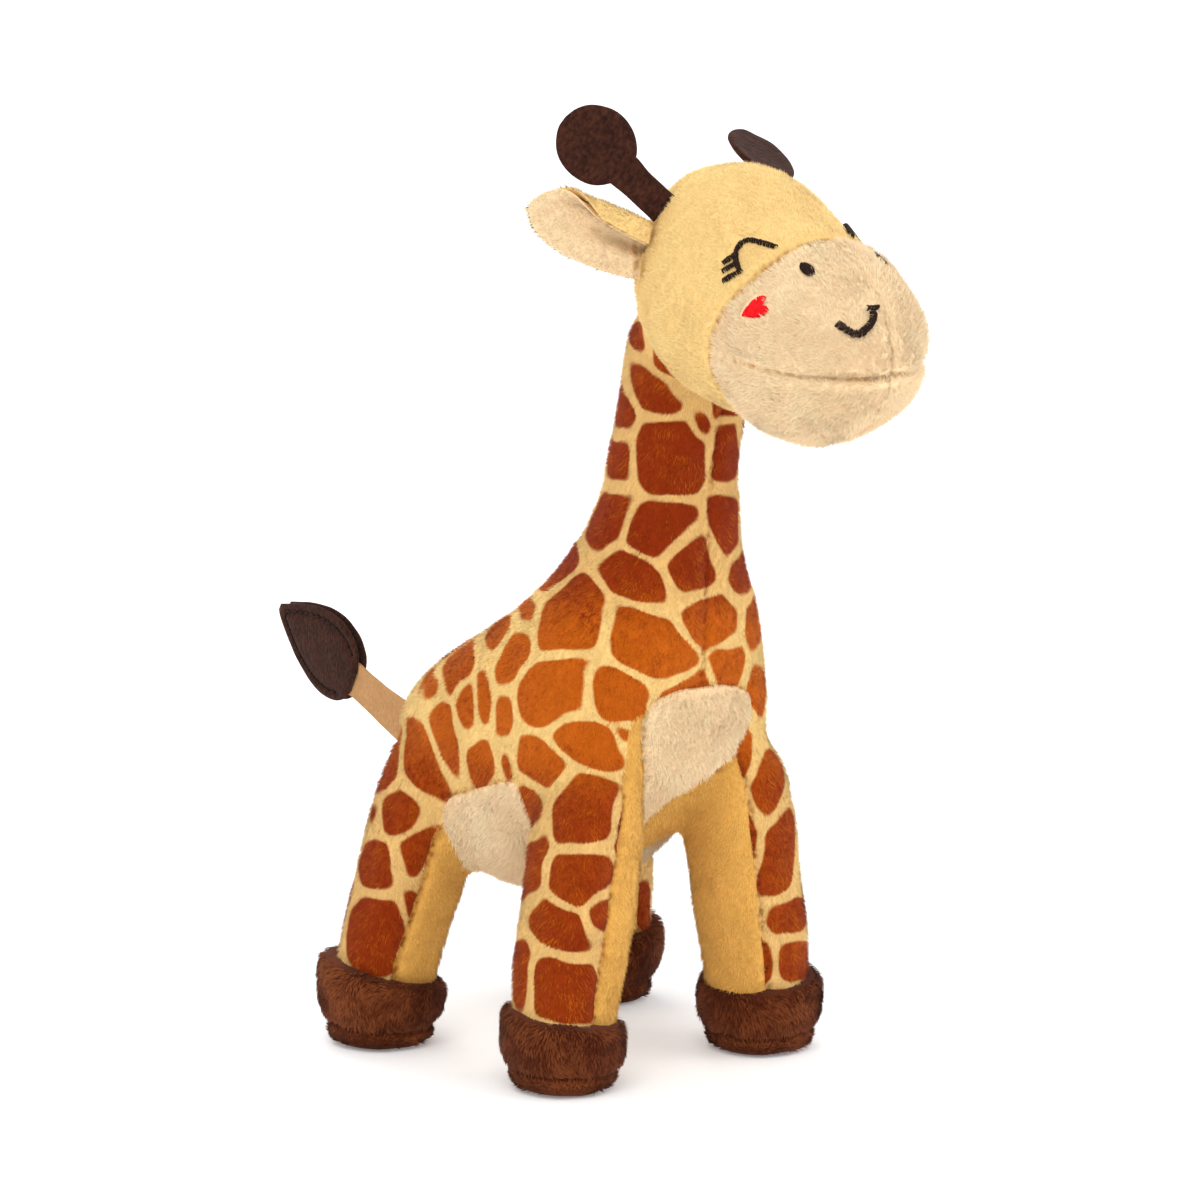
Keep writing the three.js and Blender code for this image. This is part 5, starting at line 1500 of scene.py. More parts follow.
# ---------------------------------------------------------------- hooves
@dataclass
class Hoof:
    """A hoof of long brown pile, drawn in by a seam above its sole."""

    leg: Leg
    radius: float = 14.4
    seam: float = 5.5
    top: float = 19.0
    sole: float = 9.4
    square: float = 2.15

    def form(self) -> Skin:
        """The whole hoof, with its seam and its uneven cuff."""
        leg = self.leg
        r, s, t = self.radius, self.seam, self.top + (1.4 if leg.rear else 0.4)
        below = ((0, self.sole), (1.2, r - 3.0), (s - 1.8, r - 1.7), (s, r - 2.1))
        above = ((s + 2.2, r - 0.7), (s + 5.5, r + 0.3), (t - 3.5, r + 0.3))
        profile = Curve((*below, *above, (t - 1.2, r - 0.3), (t - 0.3, r - 1.5), (t, r - 2.9)))
        levels = np.concatenate([np.linspace(0.02, s, 14), np.linspace(s, t, 26)[1:]])
        c, q, out = square_ring(88, self.square)
        lean = (levels[:, None] / t) ** 2 * leg.rear
        reach = (profile(levels)[:, None] + 0.6 * lean) * out
        x, y = leg.side * leg.hoof_x + reach * c, leg.hoof_y + reach * 1.02 * q - 1.2 * lean
        skin = loft(np.stack([x, y, np.broadcast_to(levels[:, None], x.shape)], axis=2))
        skin.points = skin.points + skin.find_normals() * ((noise(skin.points, 6, 5) - 0.5) * 0.8)[:, None]
        high = np.clip(skin.points[:, 2] / t, 0, 1) ** 1.5
        back, out = self.tilt()
        skin.points[:, 2] += back * (skin.points[:, 1] - leg.hoof_y) * high
        skin.points[:, 2] += out * (skin.points[:, 0] * leg.side - leg.hoof_x) * high
        skin.points[:, 2] = np.maximum(skin.points[:, 2], 0.35)
        skin.values["seam"] = bell(skin.points[:, 2] - s, 0.9)
        # Painted nap sheen with random tone in patches, a little lighter below the seam.
        skin.values["brushed"] = 0.1 * (skin.points[:, 2] < s) + (noise(skin.points, 9, 31) - 0.5) * 0.9
        skin.normals = skin.find_normals()
        return skin

    def tilt(self) -> tuple[float, float]:
        """How much the cuff rises towards the back and towards its outer side."""
        return (0.21, 0.2) if self.leg.rear else (0.1, 0.13)

    def build(self) -> None:
        """Makes the wall and the sole, each with its pile."""
        skin = self.form()
        under = skin.middles()[:, 2] < self.seam
        middle = np.array([self.leg.side * self.leg.hoof_x, self.leg.hoof_y, 0])

        cloth = skin.part(~under)
        swirl = (noise(cloth.points, 11, 21) - 0.5) * 2.6
        around = np.cross(cloth.normals, np.array([0, 0, 1.0]))
        flow = np.array([0, 0, -1.0]) * np.cos(swirl)[:, None] + around * np.sin(swirl)[:, None]
        bald = np.hypot(cloth.points[:, 0] - middle[0], cloth.points[:, 1] - middle[1]) < self.leg.radius
        shown = ~bald[cloth.faces].any(axis=1)
        self.sew("wall", cloth, shown, flow, Pile(2.3, 0.29, 5.3, lift=28, ruffle=1.3, bent=True))

        cloth = skin.part(under)
        flow = (cloth.points - middle) * np.array([1, 1, 0]) * 0.2 + np.array([0, 0, 0.6])
        shown = cloth.middles()[:, 2] > 0.9
        self.sew("sole", cloth, shown, flow, Pile(1.9, 0.29, 4.8, lift=26, ruffle=1.3, bent=True))

    def sew(self, name: str, cloth: Skin, shown: Array, flow: Array, pile: Pile) -> None:
        """Makes one part of the hoof with its pile.

        Args:
            name: wall or sole.
            cloth: the part.
            shown: its faces that have pile.
            flow: the way that the pile lies at each of its points.
            pile: how it stands.
        """
        node = f"hoof_{name}_{self.leg.name}"
        fibres = pile.grow(cloth.part(shown), flow[np.unique(cloth.faces[shown])], sum(map(ord, node)))
        fibres.points[:, 2] = np.maximum(fibres.points[:, 2], 0.05)
        # Painted shade: the cloth under the pile is coloured mostly like the darker roots of its fibres,
        # and its tone carries the painted nap sheen.
        cloth.values["along"] = np.full(len(cloth.points), 0.15)
        cloth.values["tone"] = 0.4 + cloth.values["brushed"]
        follow = Follow(f"leg_{self.leg.name}")
        made = make_piece(f"plush_{node}", cloth)
        dress(made, Finish.BROWN, follow, node)
        for piece in make_fibres(f"plush_{node}_pile", fibres, pile):
            dress(piece, Finish.BROWN, follow)


# ---------------------------------------------------------------- head, with its face
def tubes(paths: Array, out: Array, radius: float, sides: int = 5) -> Skin:
    """Round closed threads.

    Args:
        paths: threads by points by three.
        out: the way out of the cloth at each of those points.
        radius: a thread's radius.
        sides: facets round a thread.

    Returns:
        All the threads as one skin.
    """
    count, steps, _ = paths.shape
    along = unit(np.gradient(paths, axis=1))
    beside = unit(np.cross(along, out))
    above = np.cross(beside, along)
    turn = np.arange(sides) / sides * 2 * math.pi
    ring = paths[:, :, None] + radius * (
        np.cos(turn)[:, None] * beside[:, :, None] + np.sin(turn)[:, None] * above[:, :, None]
    )
    points = np.concatenate([ring.reshape(count, -1, 3), paths[:, :1], paths[:, -1:]], axis=1)
    each = points.shape[1]
    i = np.arange(sides)
    j = (i + 1) % sides
    faces = []
    for r in range(steps - 1):
        a, b, c, d = r * sides + i, r * sides + j, (r + 1) * sides + j, (r + 1) * sides + i
        faces += [np.stack([a, c, b], 1), np.stack([a, d, c], 1)]
    faces.append(np.stack([np.full(sides, each - 2), i, j], 1))
    end = (steps - 1) * sides
    faces.append(np.stack([np.full(sides, each - 1), end + j, end + i], 1))
    shape = np.concatenate(faces)
    first = np.arange(count)[:, None, None] * each
    return Skin(points.reshape(-1, 3), (first + shape[None]).reshape(-1, 3))


@dataclass(frozen=True)
class Satin:
    """Close parallel stitches across a line or a shape on the head."""

    pitch: float = 0.34
    thread: float = 0.17
    rise: float = 0.35
    base: float = 0.3

    def line(self, side: int, stations: tuple[tuple[float, float], ...], width: float) -> Skin:
        """A satin-stitched line.

        Args:
            side: 1 for the animal's right, and -1 for its left.
            stations: places on the head, ahead and round.
            width: how wide the line is.

        Returns:
            Its stitches.
        """
        index = range(len(stations))
        ahead = Curve(tuple((k, stations[k][0]) for k in index))
        turn = Curve(tuple((k, side * stations[k][1]) for k in index))
        fine = np.linspace(0, len(stations) - 1, 400)
        path = HEAD.place(ahead(fine), turn(fine))
        far = np.concatenate([[0], np.cumsum(np.linalg.norm(np.diff(path, axis=0), axis=1))])
        at = np.interp(np.arange(0, far[-1], self.pitch), far, fine)
        middle = HEAD.place(ahead(at), turn(at))
        out = HEAD.place(ahead(at), turn(at), 1.0) - middle
        along = unit(np.gradient(middle, axis=0))
        beside = np.cross(out, along)
        rng = np.random.default_rng(int(abs(stations[0][0]) * 10) + side + 2)
        u = np.linspace(-1, 1, 7)[None, :, None]
        wide = (width / 2 + rng.normal(0, 0.1, len(at)))[:, None, None]
        slant = rng.normal(0.2, 0.1, len(at))[:, None, None]
        lift = self.base + self.rise * np.sqrt(np.clip(1 - u**2, 0, 1)) - 0.5 * np.abs(u) ** 6
        paths = middle[:, None] + beside[:, None] * wide * u + along[:, None] * slant * u
        paths = paths + out[:, None] * lift
        return tubes(paths, np.broadcast_to(out[:, None], paths.shape), self.thread)

    def patch(self, side: int, ahead: float, turn: float, outline: Array, spin: float) -> Skin:
        """A stitched patch whose stitches run across its outline.

        Args:
            side: 1 for the animal's right, and -1 for its left.
            ahead: where its middle is along the head.
            turn: where its middle is round the head, in degrees.
            outline: its outline as seen on the animal's right, in millimetres.
            spin: degrees that it is turned.

        Returns:
            Its stitches.
        """
        s = math.radians(spin)
        turned = outline @ np.array([[math.cos(s), math.sin(s)], [-math.sin(s), math.cos(s)]])
        y = np.arange(turned[:, 1].min() + self.pitch / 2, turned[:, 1].max(), self.pitch)
        edge, after = turned, np.roll(turned, -1, axis=0)
        rows = []
        for level in y:
            cross = (edge[:, 1] > level) != (after[:, 1] > level)
            t = (level - edge[cross, 1]) / (after[cross, 1] - edge[cross, 1])
            xs = np.sort(edge[cross, 0] + t * (after[cross, 0] - edge[cross, 0]))
            rows += [(xs[k], xs[k + 1], level) for k in range(0, len(xs) - 1, 2) if xs[k + 1] - xs[k] > 0.3]
        span = np.array(rows)
        u = np.linspace(0, 1, 7)[None]
        x = span[:, :1] + (span[:, 1:2] - span[:, :1]) * u
        z = np.broadcast_to(span[:, 2:3], x.shape)
        r = float(HEAD.radius()(np.array([ahead]))[0])
        a = ahead - z
        t = side * (turn + np.degrees(x / r))
        lift = self.base + self.rise * 0.7 * np.sqrt(np.clip(1 - (2 * u - 1) ** 2, 0, 1))
        lift = np.broadcast_to(lift, x.shape)
        paths = HEAD.place(a, t, lift)
        out = HEAD.place(a, t, lift + 1) - paths
        return tubes(paths, out, self.thread)


def heart_outline(size: float) -> Array:
    """A heart as high as it is wide, point down, with its middle at the origin."""
    h = size / 2
    parts = (
        ((0, -h), (-h * 0.5, -h * 0.45), (-h * 1.05, -h * 0.05), (-h, h * 0.5)),
        ((-h, h * 0.5), (-h * 0.95, h * 1.05), (-h * 0.2, h * 1.1), (0, h * 0.5)),
        ((0, h * 0.5), (h * 0.2, h * 1.1), (h * 0.95, h * 1.05), (h, h * 0.5)),
        ((h, h * 0.5), (h * 1.05, -h * 0.05), (h * 0.5, -h * 0.45), (0, -h)),
    )
    t = np.linspace(0, 1, 14, endpoint=False)[:, None]
    rows = []
    for a, b, c, d in parts:
        a, b, c, d = map(np.array, (a, b, c, d))
        rows.append((1 - t) ** 3 * a + 3 * (1 - t) ** 2 * t * b + 3 * (1 - t) * t**2 * c + t**3 * d)
    return np.concatenate(rows)


@dataclass
class Head:
    """The head: its panels, and the embroidery of its face."""

    inset: float = 0.7
    stitch: float = 4.6
    eye: tuple[tuple[float, float], ...] = (
        (22, 28.9), (18.9, 32.3), (16.1, 35.9), (15.3, 40.2), (16.0, 45.4), (18.4, 50.1), (20.5, 52.1),
    )
    lashes: tuple[tuple[tuple[float, float], ...], ...] = (
        ((16.4, 46.3), (15.3, 54.4)), ((18.2, 49.3), (16.6, 57.8)), ((20.4, 52.0), (18.3, 61.3)),
    )
    smile: tuple[tuple[float, float], ...] = (
        (49.5, 39.9), (51.6, 37.8), (53.2, 34), (53.5, 27.1), (52.8, 16.5), (51.2, 11),
    )
    smile_end: tuple[tuple[float, float], ...] = ((50.2, 15), (50.6, 10.5), (50.8, 6.5))

    def build(self) -> None:
        """Makes the embroidery, and then the panels round it."""
        avoid = self.embroider()
        skin = HEAD.rough()
        ahead, _ = HEAD.read(skin.points)
        normal = skin.find_normals()
        mouth = HEAD.over_mouth(skin.points)
        edge = self.muzzle_edge(skin.points)
        lump = (noise(skin.points, 16, 4) - 0.5) * 1.4 + (noise(skin.points, 7, 6) - 0.5) * 0.5
        groove = self.sew_seams(skin, ahead, edge, mouth)
        crown, behind = self.swells(skin.points, ahead)
        out = lump - self.inset - groove + crown - behind
        skin.points = skin.points + normal * out[:, None] + puffed(skin)
        skin.normals = skin.find_normals()
        labels = self.labels(skin.middles())
        flow = np.broadcast_to(-HEAD.axis(), skin.points.shape)
        upward = np.where(mouth > 0, 0.3, -0.5)[:, None] * HEAD.up()
        apart = np.tanh(skin.points[:, :1] / 7) * np.array([[0.3, 0, 0]]) + upward - HEAD.axis()
        flow = np.where((ahead > edge)[:, None], apart, flow)
        bare = (TRUNK.reach(skin.points) < 0.9) & (skin.points[:, 2] < 192)
        for k, panel in enumerate(self.panels()):
            keep = labels == k
            used = np.unique(skin.faces[keep])
            panel.sew(skin.part(keep), flow[used], bare[used], avoid)

    def sew_seams(self, skin: Skin, ahead: Array, edge: Array, mouth: Array) -> Array:
        """Marks the seams on the head, and says how deep they pull it in.

        Args:
            skin: the head, which gets the value seam.
            ahead: how far ahead each point is.
            edge: how far ahead the muzzle's seam is there.
            mouth: how far each point is over the mouth seam.

        Returns:
            Millimetres into the cloth.
        """
        x, z = np.abs(skin.points[:, 0]), skin.points[:, 2]
        crown, muzzle, mouth = ahead - HEAD.crown_seam, ahead - edge, np.abs(mouth)
        centre = (ahead > edge) | (ahead < HEAD.crown_seam)
        near = [bell(crown, 1.1), bell(muzzle, 1.3)]
        near += [bell(mouth, 0.9) * smooth_step(26, 30, ahead), 0.8 * bell(x, 0.8) * centre]
        skin.values["seam"] = np.max(near, axis=0)
        groove = 0.9 * bell(crown, 1.5) * (ahead > -20) + 0.9 * bell(muzzle, 1.5)
        groove = groove + 1.1 * bell(mouth, 1.4) * smooth_step(26, 34, ahead)
        groove = groove + 0.3 * bell(mouth, 5) * smooth_step(30, 44, ahead) + 0.8 * bell(x, 1.5) * centre
        return groove * (0.65 + 0.35 * np.cos(2 * math.pi * z / self.stitch)) + 0.2 * groove

    def swells(self, p: Array, ahead: Array) -> tuple[Array, Array]:
        """How far the crown stands out at each point, and how far the filling falls short of the form.

        Args:
            p: the points.
            ahead: how far ahead each is.

        Returns:
            Millimetres out of the form, and millimetres into it.
        """
        turn = np.degrees(np.arctan2(-p[:, 0], (p - np.array(HEAD.centre)) @ HEAD.up()))

        def spot(depth: float, middle: float, long: float, wide: float, off: Array) -> Array:
            """A soft round dent of this depth at one place along the head."""
            return depth * np.exp(-(((ahead - middle) / long) ** 2) - (off / wide) ** 2)

        behind = 3.0 * smooth_step(8, -16, ahead) * (1 - bell(turn, 60))
        behind = behind + spot(1.2, 12, 9, 36, turn) - spot(1.0, 36, 12, 60, turn)
        return spot(3.0, -5, 17, 55, turn), behind + spot(1.7, 54, 12, 70, 180 - np.abs(turn))

    def labels(self, p: Array) -> Array:
        """Which panel each point belongs to, as its place in panels()."""
        ahead, _ = HEAD.read(p)
        side = np.where(p[:, 0] < 0, 0, 1)
        snout = np.where(HEAD.over_mouth(p) > 0, 3 + side, 5 + side)
        return np.where(ahead < HEAD.crown_seam, side, np.where(ahead < self.muzzle_edge(p), 2, snout))

    def muzzle_edge(self, p: Array) -> Array:
        """How far ahead the muzzle's seam is beside each point: it curves back over the cheeks."""
        rel = p - np.array(HEAD.centre)
        turn = np.degrees(np.arctan2(np.abs(rel[:, 0]), rel @ HEAD.up()))
        return HEAD.muzzle_seam - 4.2 * bell(turn - 95, 36)

    def panels(self) -> list[Panel]:
        """Every panel, in the order of its label."""
        yellow = (Finish.YELLOW, Pile(length=1.6, density=6.2, lift=27))
        cream = (Finish.CREAM, Pile(length=2.1, width=0.28, density=6.4, lift=32, ruffle=0.7))
        nodes = ("head_back_right", "head_back_left", "head_face")
        nodes += ("muzzle_right", "muzzle_left", "jaw_right", "jaw_left")
        made = []
        for k, node in enumerate(nodes):
            finish, pile = yellow if node.startswith("head") else cream
            made.append(Panel(f"plush_{node}", finish, Follow("head"), (node,), pile, 110 + 5 * k))
        return made

    def embroider(self) -> Array:
        """Makes the eyes, the nostrils, the hearts and the smile.

        Returns:
            Points of the stitches that the pile keeps away from.
        """
        satin = Satin()
        made = []
        turn = np.linspace(0, 2 * math.pi, 40, endpoint=False)
        for name, side in (("right", 1), ("left", -1)):
            lashes = [satin.line(side, lash, 0.95) for lash in self.lashes]
            lines = [satin.line(side, self.eye, 1.15), *lashes]
            made.append((f"stitched_eye_{name}", f"eye_{name}", Finish.THREAD, joined(lines)))
            oval = np.stack([1.5 * np.cos(turn), 2.5 * np.sin(turn)], 1)
            nostril = satin.patch(side, 33.9, 28.2, oval, 5)
            made.append((f"stitched_nostril_{name}", f"nostril_{name}", Finish.THREAD, nostril))
            heart = satin.patch(side, 30.7, 64, heart_outline(6.4) * np.array([0.84, 1.25]), 126)
            made.append((f"stitched_heart_{name}", f"cheek_heart_{name}", Finish.RED_THREAD, heart))
        smile = joined([satin.line(1, self.smile, 1.75), satin.line(1, self.smile_end, 1.1)])
        made.append(("stitched_smile", "smile", Finish.THREAD, smile))
        for name, node, finish, skin in made:
            dress(make_piece(name, skin), finish, Follow("head"), node)
        points = np.concatenate([skin.points for *_, skin in made])
        return points[::9]


# ---------------------------------------------------------------- ears, horns and tail
@dataclass(frozen=True)
class Leaf:
    """A flat shape of cloth or felt that runs out from a seam.

    The half width is one value for each of the rows from the seam to the tip. A
    fold turns one side edge over, round the radius roll.
    """

    length: float
    half_width: Array
    cup: float = 0.0
    crease: float = 0.0
    fold: float = 0.0
    bow: float = 0.0
    square: float = 2.0
    roll: float = 1.7

    def skin(
        self, root: Array, along: Array, flat: Array, low: float, high: float, to_head: float | None = None
    ) -> Skin:
        """The closed leaf between two heights over its middle surface.

        Args:
            root: the middle of its seam.
            along: the way out from the seam.
            flat: the way that its face looks.
            low: the under side's height.
            high: the upper side's height.
            to_head: how far its seam edge stays off the head, if it runs back to it.

        Returns:
            The leaf.
        """
        along = unit(along)
        across = unit(np.cross(along, flat))
        up = np.cross(across, along)
        rows = len(self.half_width)
        v = np.linspace(0, 1, rows)[:, None]
        u = np.sin(np.linspace(-math.pi / 2, math.pi / 2, 33))[None]
        w = np.maximum(self.half_width, 0.25)[:, None]
        x, begin = u * w, np.zeros_like(u)
        for _ in range(0 if to_head is None else 60):
            edge = root + x[:1, :, None] * across + begin[..., None] * along
            begin = begin - 0.15 * (HEAD.read(edge[0])[1] > to_head)[None]
        y = begin + v * (self.length - begin)
        z = self.cup * u**2 * np.sin(math.pi * np.clip(v * 0.9 + 0.1, 0, 1))
        z = z + self.bow * np.sin(math.pi * v)
        z = z - self.crease * bell(u, 0.22) * np.clip(1 - v * 1.5, 0, 1)
        out = up + np.zeros((*(u + v).shape, 3))
        if self.fold:
            over = np.clip(1 - v / 0.85, 0, 1)
            beyond = np.clip(u * self.fold * w * (1 + 0.6 * over) - 0.5 * w, 0, None)
            turned = np.minimum(beyond / self.roll, 2.75 * np.minimum(1, over * 2))
            rest = beyond - self.roll * turned
            flipped = self.fold * (0.5 * w + self.roll * np.sin(turned) + rest * np.cos(turned))
            x = np.where(beyond > 0, flipped, u * w)
            z = z + np.where(beyond > 0, self.roll * (1 - np.cos(turned)) + rest * np.sin(turned), 0)
            out = np.cos(turned)[..., None] * up - self.fold * np.sin(turned)[..., None] * across
        end = np.clip(1 - ((v - 0.5) * 2) ** 24, 0, 1)
        edge = np.sqrt(np.clip(1 - np.abs(u) ** (self.square * 2), 0, 1)) * end
        middle = (low + high) / 2
        grid = root + x[..., None] * across + y[..., None] * along + z[..., None] * up
        top = grid + (middle + (high - middle) * edge)[..., None] * out
        under = grid + (middle + (low - middle) * edge)[..., None] * out
        points = np.concatenate([top.reshape(-1, 3), under.reshape(-1, 3)])
        cols = u.shape[1]
        r, c = np.meshgrid(np.arange(rows - 1), np.arange(cols - 1), indexing="ij")
        a = (r * cols + c).ravel()
        n = rows * cols
        faces = [np.stack([a, a + 1, a + cols + 1, a + cols], 1)]
        faces.append(np.stack([a + n, a + n + cols, a + n + cols + 1, a + n + 1], 1))
        rim = np.concatenate(
            [np.arange(cols), np.arange(2, rows + 1) * cols - 1, np.arange(n - 2, n - cols - 1, -1)]
            + [np.arange(rows - 2, 0, -1) * cols]
        )
        after = np.roll(rim, -1)
        faces.append(np.stack([rim, rim + n, after + n, after], 1))
        made = Skin(points, np.concatenate(faces))
        made.normals = made.find_normals()
        return made


def seat(turn: float, side: int, along: Array, flat: Array, width: float, lift: float) -> Array:
    """Where a piece's seam lies on the crown so that its whole width clears the head."""
    root = HEAD.place(np.array([HEAD.crown_seam]), np.array([side * turn]))[0]
    edge = unit(np.cross(along, flat))
    across = np.linspace(-0.5, 0.5, 5)[:, None] * width * edge
    for _ in range(200):
        if HEAD.read(root + across)[1].min() > lift:
            break
        root = root + unit(along) * 0.05
    return root


@dataclass(frozen=True)
class Topknot:
    """An ear and a horn of one side, and how they lie."""

    name: str
    side: int
    ear: tuple[tuple[float, float, float], tuple[float, float, float]]
    horn: tuple[tuple[float, float, float], tuple[float, float, float]]
    ear_length: float = 26.6
    ear_round: float = 76.0
    ear_root: float = 14.0
    horn_length: float = 31.5
    horn_round: float = 48.0
    horn_root: float = 8.2
    disc: float = 9.6

    def build(self) -> None:
        """Makes the ear and the horn."""
        self.build_ear()
        self.build_horn()

    def build_ear(self) -> None:
        """Makes the ear's front and its back, folded together."""
        rows = np.linspace(0, 1, 56)
        out, flat = (np.array(v) for v in self.ear)
        wide = Curve(((0, 7.4), (0.2, 8.4), (0.5, 8.7), (0.75, 7.3), (0.92, 4.4), (1.0, 0.8)))
        leaf = Leaf(self.ear_length, wide(rows), cup=2.8, crease=3.4, bow=-0.8, fold=float(self.side))
        root = seat(self.ear_round, self.side, out, flat, self.ear_root, 1.2)
        rides = Follow(f"ear_{self.name}")
        sheets = (("front", Finish.CREAM, 0.1, 1.5), ("back", Finish.YELLOW, -1.5, -0.1))
        for part, finish, low, high in sheets:
            node = f"ear_{part}_{self.name}"
            cloth = leaf.skin(root, out, flat, low, high, -2.4)
            flow = np.broadcast_to(unit(out) + np.array([0, 0, -0.3]), cloth.points.shape)
            panel = Panel(f"plush_{node}", finish, rides, (node,), Pile(length=1.6), sum(map(ord, node)))
            rel = cloth.points - root
            seam = bell(HEAD.read(cloth.points)[1] + 0.8, 1.2)
            far, aside = rel @ unit(out) - 9, rel @ unit(np.cross(out, flat))
            hollow = np.exp(-((far / 2.2) ** 2) - (aside / 1.6) ** 2)
            # The ear's hollow by its root joins the seam value: its pile is shorter and flatter there, and
            # its colour gets painted shade as a seam does.
            cloth.values["seam"] = np.maximum(seam, 0.7 * hollow * (part == "front"))
            upper = np.arange(len(cloth.points)) < len(cloth.points) // 2
            panel.sew(cloth, flow, upper != (part == "front"))

    def build_horn(self) -> None:
        """Makes the horn, a disc on a stem."""
        out, flat = (np.array(v) for v in self.horn)
        far = np.linspace(0, 1, 90) * self.horn_length
        centre = self.horn_length - self.disc
        disc = np.sqrt(np.clip(self.disc**2 - (far - centre) ** 2, 0, None))
        stem = 4.1 + 0.5 * smooth_step(8, 14, far)
        half = np.where(far > centre, disc, np.maximum(stem, disc))
        root = seat(self.horn_round, self.side, out, flat, self.horn_root, 0.7)
        leaf = Leaf(self.horn_length, half, bow=-0.9, cup=0.6, square=7)
        node = f"horn_{self.name}"
        skin = leaf.skin(root, out, flat, -0.85, 0.85, -1.2)
        felt(f"felt_{node}", skin, Finish.DARK_FELT, node, node, 0.25)


def felt(name: str, skin: Skin, finish: Finish, body: str, node: str, rough: float) -> None:
    """A felt piece, slightly uneven, dressed and tied to its body."""
    skin.points = skin.points + skin.normals * ((noise(skin.points, 4, 8) - 0.5) * rough)[:, None]
    skin.normals = None
    dress(make_piece(name, skin), finish, Follow(body), node)


TOPKNOTS = (
    Topknot(
        name="right",
        side=1,
        ear=((-0.66, 0.66, 0.35), (-0.64, -0.74, 0.2)),
        horn=((-0.46, 0.58, 0.67), (-0.64, -0.74, 0.2)),
    ),
    Topknot(
        name="left",
        side=-1,
        ear=((0.72, 0.68, -0.1), (0.62, -0.76, 0.2)),
        horn=((0.557, 0.785, 0.274), (0.266, -0.481, 0.835)),
    ),
)


@dataclass(frozen=True)
class Tail:
    """A felt strip with a leaf of two felt layers stitched round its end."""

    level: float = 67.0
    length: float = 47.0
    rise: float = 17.0
    tuft: float = 34.0
    turn: float = 10.0
    stitch_inset: float = 2.6
    stitch_pitch: float = 2.3
    stitch_long: float = 1.8

    def build(self) -> None:
        """Makes the strip, the two layers and their stitches."""
        up, turned = math.radians(self.rise), math.radians(self.rise + self.turn)
        out = np.array([0, math.cos(up), math.sin(up)])
        root = np.array([0, float(TRUNK.curves()[2](np.array([self.level]))[0]) + 0.3, self.level])
        sideways = np.array([-1.0, 0, 0])
        rows = np.linspace(0, 1, 60)
        broad = Curve(((0, 7.8), (0.25, 7.1), (0.5, 5.8), (0.8, 4.9), (1, 4.9)))
        strip = Leaf(self.length + 6, broad(rows), bow=0.8, square=7).skin(root, out, sideways, -0.8, 0.8)
        along = np.clip((strip.points - root) @ out / self.length, 0, 1)
        strip.points[:, 2] -= 1.6 * np.sin(math.pi * along)
        strip.points -= 5.0 * (1 - along[:, None]) ** 6 * out
        felt("felt_tail_strip", strip, Finish.TAN_FELT, "tail", "tail_strip", 0.3)
        start = root + out * self.length
        way = np.array([0, math.cos(turned), math.sin(turned)])
        lower = ((0, 3), (0.06, 7.4), (0.2, 10.4), (0.37, 11.2))
        wide = Curve((*lower, (0.58, 9.7), (0.78, 6.2), (0.92, 2.9), (1.0, 1.0)))
        shape = wide(rows)
        for name, side in (("right", 1), ("left", -1)):
            low, high = sorted((side * 1.0, side * 2.3))
            leaf = Leaf(self.tuft, shape, bow=0.3 * side, cup=-0.9 * side, square=6)
            leaf = leaf.skin(start, way, sideways, low, high)
            path = self.stitch_line(side, start, way, wide)
            gap = np.linalg.norm(leaf.points[:, None, 1:] - path[None, ::2, 1:], axis=2).min(axis=1)
            outer = leaf.normals[:, 0] * side < -0.3
            leaf.points[:, 0] += side * 0.55 * bell(gap, 0.9) * outer
            felt(f"felt_tuft_{name}", leaf, Finish.DARK_FELT, "tail", f"tail_tuft_{name}", 0.25)
            self.stitch(name, side, start, way, wide)

    def stitch_line(self, side: int, start: Array, way: Array, wide: Curve) -> Array:
        """Where the stitches run inside the edge of one layer."""
        v = np.concatenate([np.linspace(0.1, 0.9, 200), np.linspace(0.9, 0.1, 200)])
        sign = np.concatenate([np.ones(200), -np.ones(200)])
        across = np.array([0, -way[2], way[1]])
        half = np.maximum(wide(v) - self.stitch_inset, 0.05)
        path = start + v[:, None] * self.tuft * way + (sign * half)[:, None] * across
        cup = 0.9 * (half / wide(v)) ** 2 * np.sin(math.pi * np.clip(v * 0.9 + 0.1, 0, 1))
        path[:, 0] = -side * (2.3 - cup + 0.3 * np.sin(math.pi * v) - 0.45)
        return path

    def stitch(self, name: str, side: int, start: Array, way: Array, wide: Curve) -> None:
        """The line of stitches inside the edge of one layer."""
        path = self.stitch_line(side, start, way, wide)
        far = np.concatenate([[0], np.cumsum(np.linalg.norm(np.diff(path, axis=0), axis=1))])
        begin = np.arange(0, far[-1] - 2.0, self.stitch_pitch)
        u = np.linspace(0, 1, 5)
        at = begin[:, None] + u[None] * self.stitch_long
        line = np.stack([np.interp(at, far, path[:, k]) for k in range(3)], axis=2)
        line[:, :, 0] += -side * (0.4 - 1.2 * np.abs(u - 0.5) ** 2)
        out = np.broadcast_to(np.array([-side, 0.0, 0.0]), line.shape)
        dress(make_piece(f"tuft_stitches_{name}", tubes(line, out, 0.24)), Finish.THREAD, Follow("tail"))


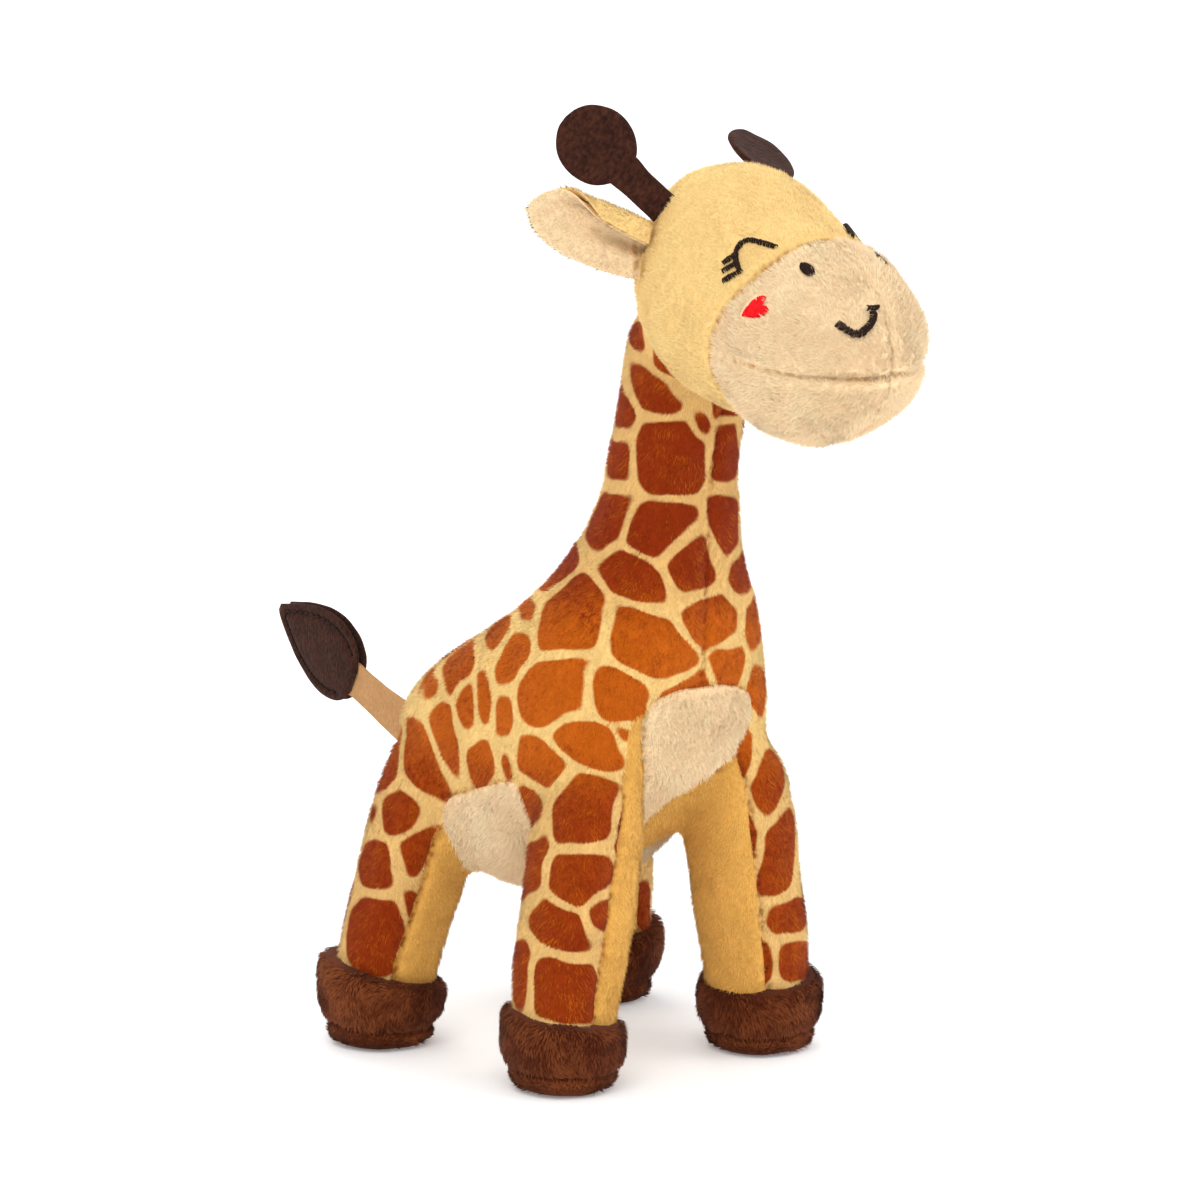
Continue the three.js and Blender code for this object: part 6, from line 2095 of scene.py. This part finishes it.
# ---------------------------------------------------------------- inside
@dataclass(frozen=True)
class Filling:
    """The fibre inside the cloth, with a pocket for the squeaker."""

    below: float = 4.0
    below_top: float = 7.5
    neck_zone: tuple[float, float] = (150.0, 180.0)
    pocket_radius: float = 14.4
    pocket_levels: tuple[float, float] = (61.0, 79.0)
    head_voxel: float = 3.0

    def build(self) -> None:
        """Makes the fibre of the trunk and neck, of each leg and of the head."""
        trunk = self.shrunk(TRUNK.rough())
        turn = np.arange(48) / 48 * 2 * math.pi
        circle = self.pocket_radius * np.stack([np.cos(turn), np.sin(turn)], axis=1)
        rings = [np.column_stack([circle, np.full(len(turn), level)]) for level in self.pocket_levels]
        hole = loft(np.stack(rings))
        hole.faces = hole.faces[:, ::-1]
        nodes = ("body_stuffing", "neck_stuffing")
        dress(make_piece("fibre_trunk_neck", joined([trunk, hole])), Finish.FIBRE, NECK_FOLLOW, *nodes)
        for leg in LEGS:
            piece = make_piece(f"fibre_leg_{leg.name}", self.shrunk(leg.rough()))
            dress(piece, Finish.FIBRE, leg_follow(leg), f"leg_stuffing_{leg.name}")
        head = self.shrunk(remeshed([HEAD.rough()], self.head_voxel))
        dress(make_piece("fibre_head", head), Finish.FIBRE, Follow("head"), "head_stuffing")

    def shrunk(self, skin: Skin) -> Skin:
        """A closed skin drawn in under the cloth, and more where the neck meets the head."""
        top = smooth_step(*self.neck_zone, skin.points[:, 2])[:, None]
        skin.points = skin.points - skin.find_normals() * (self.below + (self.below_top - self.below) * top)
        return skin


# ---------------------------------------------------------------- studio
@dataclass(frozen=True)
class Studio:
    """A white floor and backdrop in soft even light."""

    world: float = 1.0
    key: float = 27.0
    fill: float = 14.0

    def build(self) -> None:
        """Makes the floor, the lamps and the white surround."""
        bpy.ops.mesh.primitive_plane_add(size=12, location=(0, 0, 0))
        floor = bpy.context.object
        floor.name = "studio_floor"
        s = Shader("studio_white")
        s.surface.inputs["Base Color"].default_value = (0.92, 0.92, 0.92, 1)
        s.surface.inputs["Roughness"].default_value = 0.9
        s.surface.inputs["Emission Color"].default_value = (1, 1, 1, 1)
        s.surface.inputs["Emission Strength"].default_value = 0.16
        floor.data.materials.append(s.material)
        for name, place, power, size in (
            ("lamp_key", (-1.5, -1.2, 2.2), self.key, 1.6),
            ("lamp_fill", (1.4, -1.9, 1.3), self.fill, 1.8),
            ("lamp_back", (0.6, 1.8, 1.9), self.fill, 1.4),
        ):
            data = bpy.data.lights.new(name, "AREA")
            data.energy = power
            data.size = size
            lamp = bpy.data.objects.new(name, data)
            lamp.location = place
            lamp.rotation_euler = (Vector((0, 0, 0.12)) - Vector(place)).to_track_quat("-Z", "Y").to_euler()
            bpy.context.scene.collection.objects.link(lamp)
        world = bpy.data.worlds.new("surround")
        bpy.context.scene.world = world
        world.use_nodes = True
        nodes, links = world.node_tree.nodes, world.node_tree.links
        path = nodes.new("ShaderNodeLightPath")
        seen = nodes.new("ShaderNodeMath")
        seen.operation = "MAXIMUM"
        links.new(path.outputs["Is Camera Ray"], seen.inputs[0])
        links.new(path.outputs["Is Glossy Ray"], seen.inputs[1])
        level = nodes.new("ShaderNodeMapRange")
        links.new(seen.outputs[0], level.inputs["Value"])
        level.inputs["To Min"].default_value = self.world
        level.inputs["To Max"].default_value = 1.0
        nodes["Background"].inputs["Color"].default_value = (1, 1, 1, 1)
        links.new(level.outputs["Result"], nodes["Background"].inputs["Strength"])
        bpy.context.scene.view_settings.view_transform = "Standard"


def main() -> None:
    """Builds the toy piece by piece."""
    CAMERA.shoot()
    for part in (Studio(), Body(), *[Hoof(leg) for leg in LEGS], Head(), *TOPKNOTS, Tail(), Filling()):
        part.build()
        log.info("built %s %s", type(part).__name__, getattr(part, "name", ""))
    for node in ("squeaker_bulb", "squeaker_reed"):
        piece = bpy.data.objects[node]
        piece.data.materials.clear()
        piece.data.materials.append(Finish.PLASTIC.material())


if __name__ == "__main__":
    logging.basicConfig(level=logging.INFO, stream=sys.stdout, format="%(message)s")
    main()
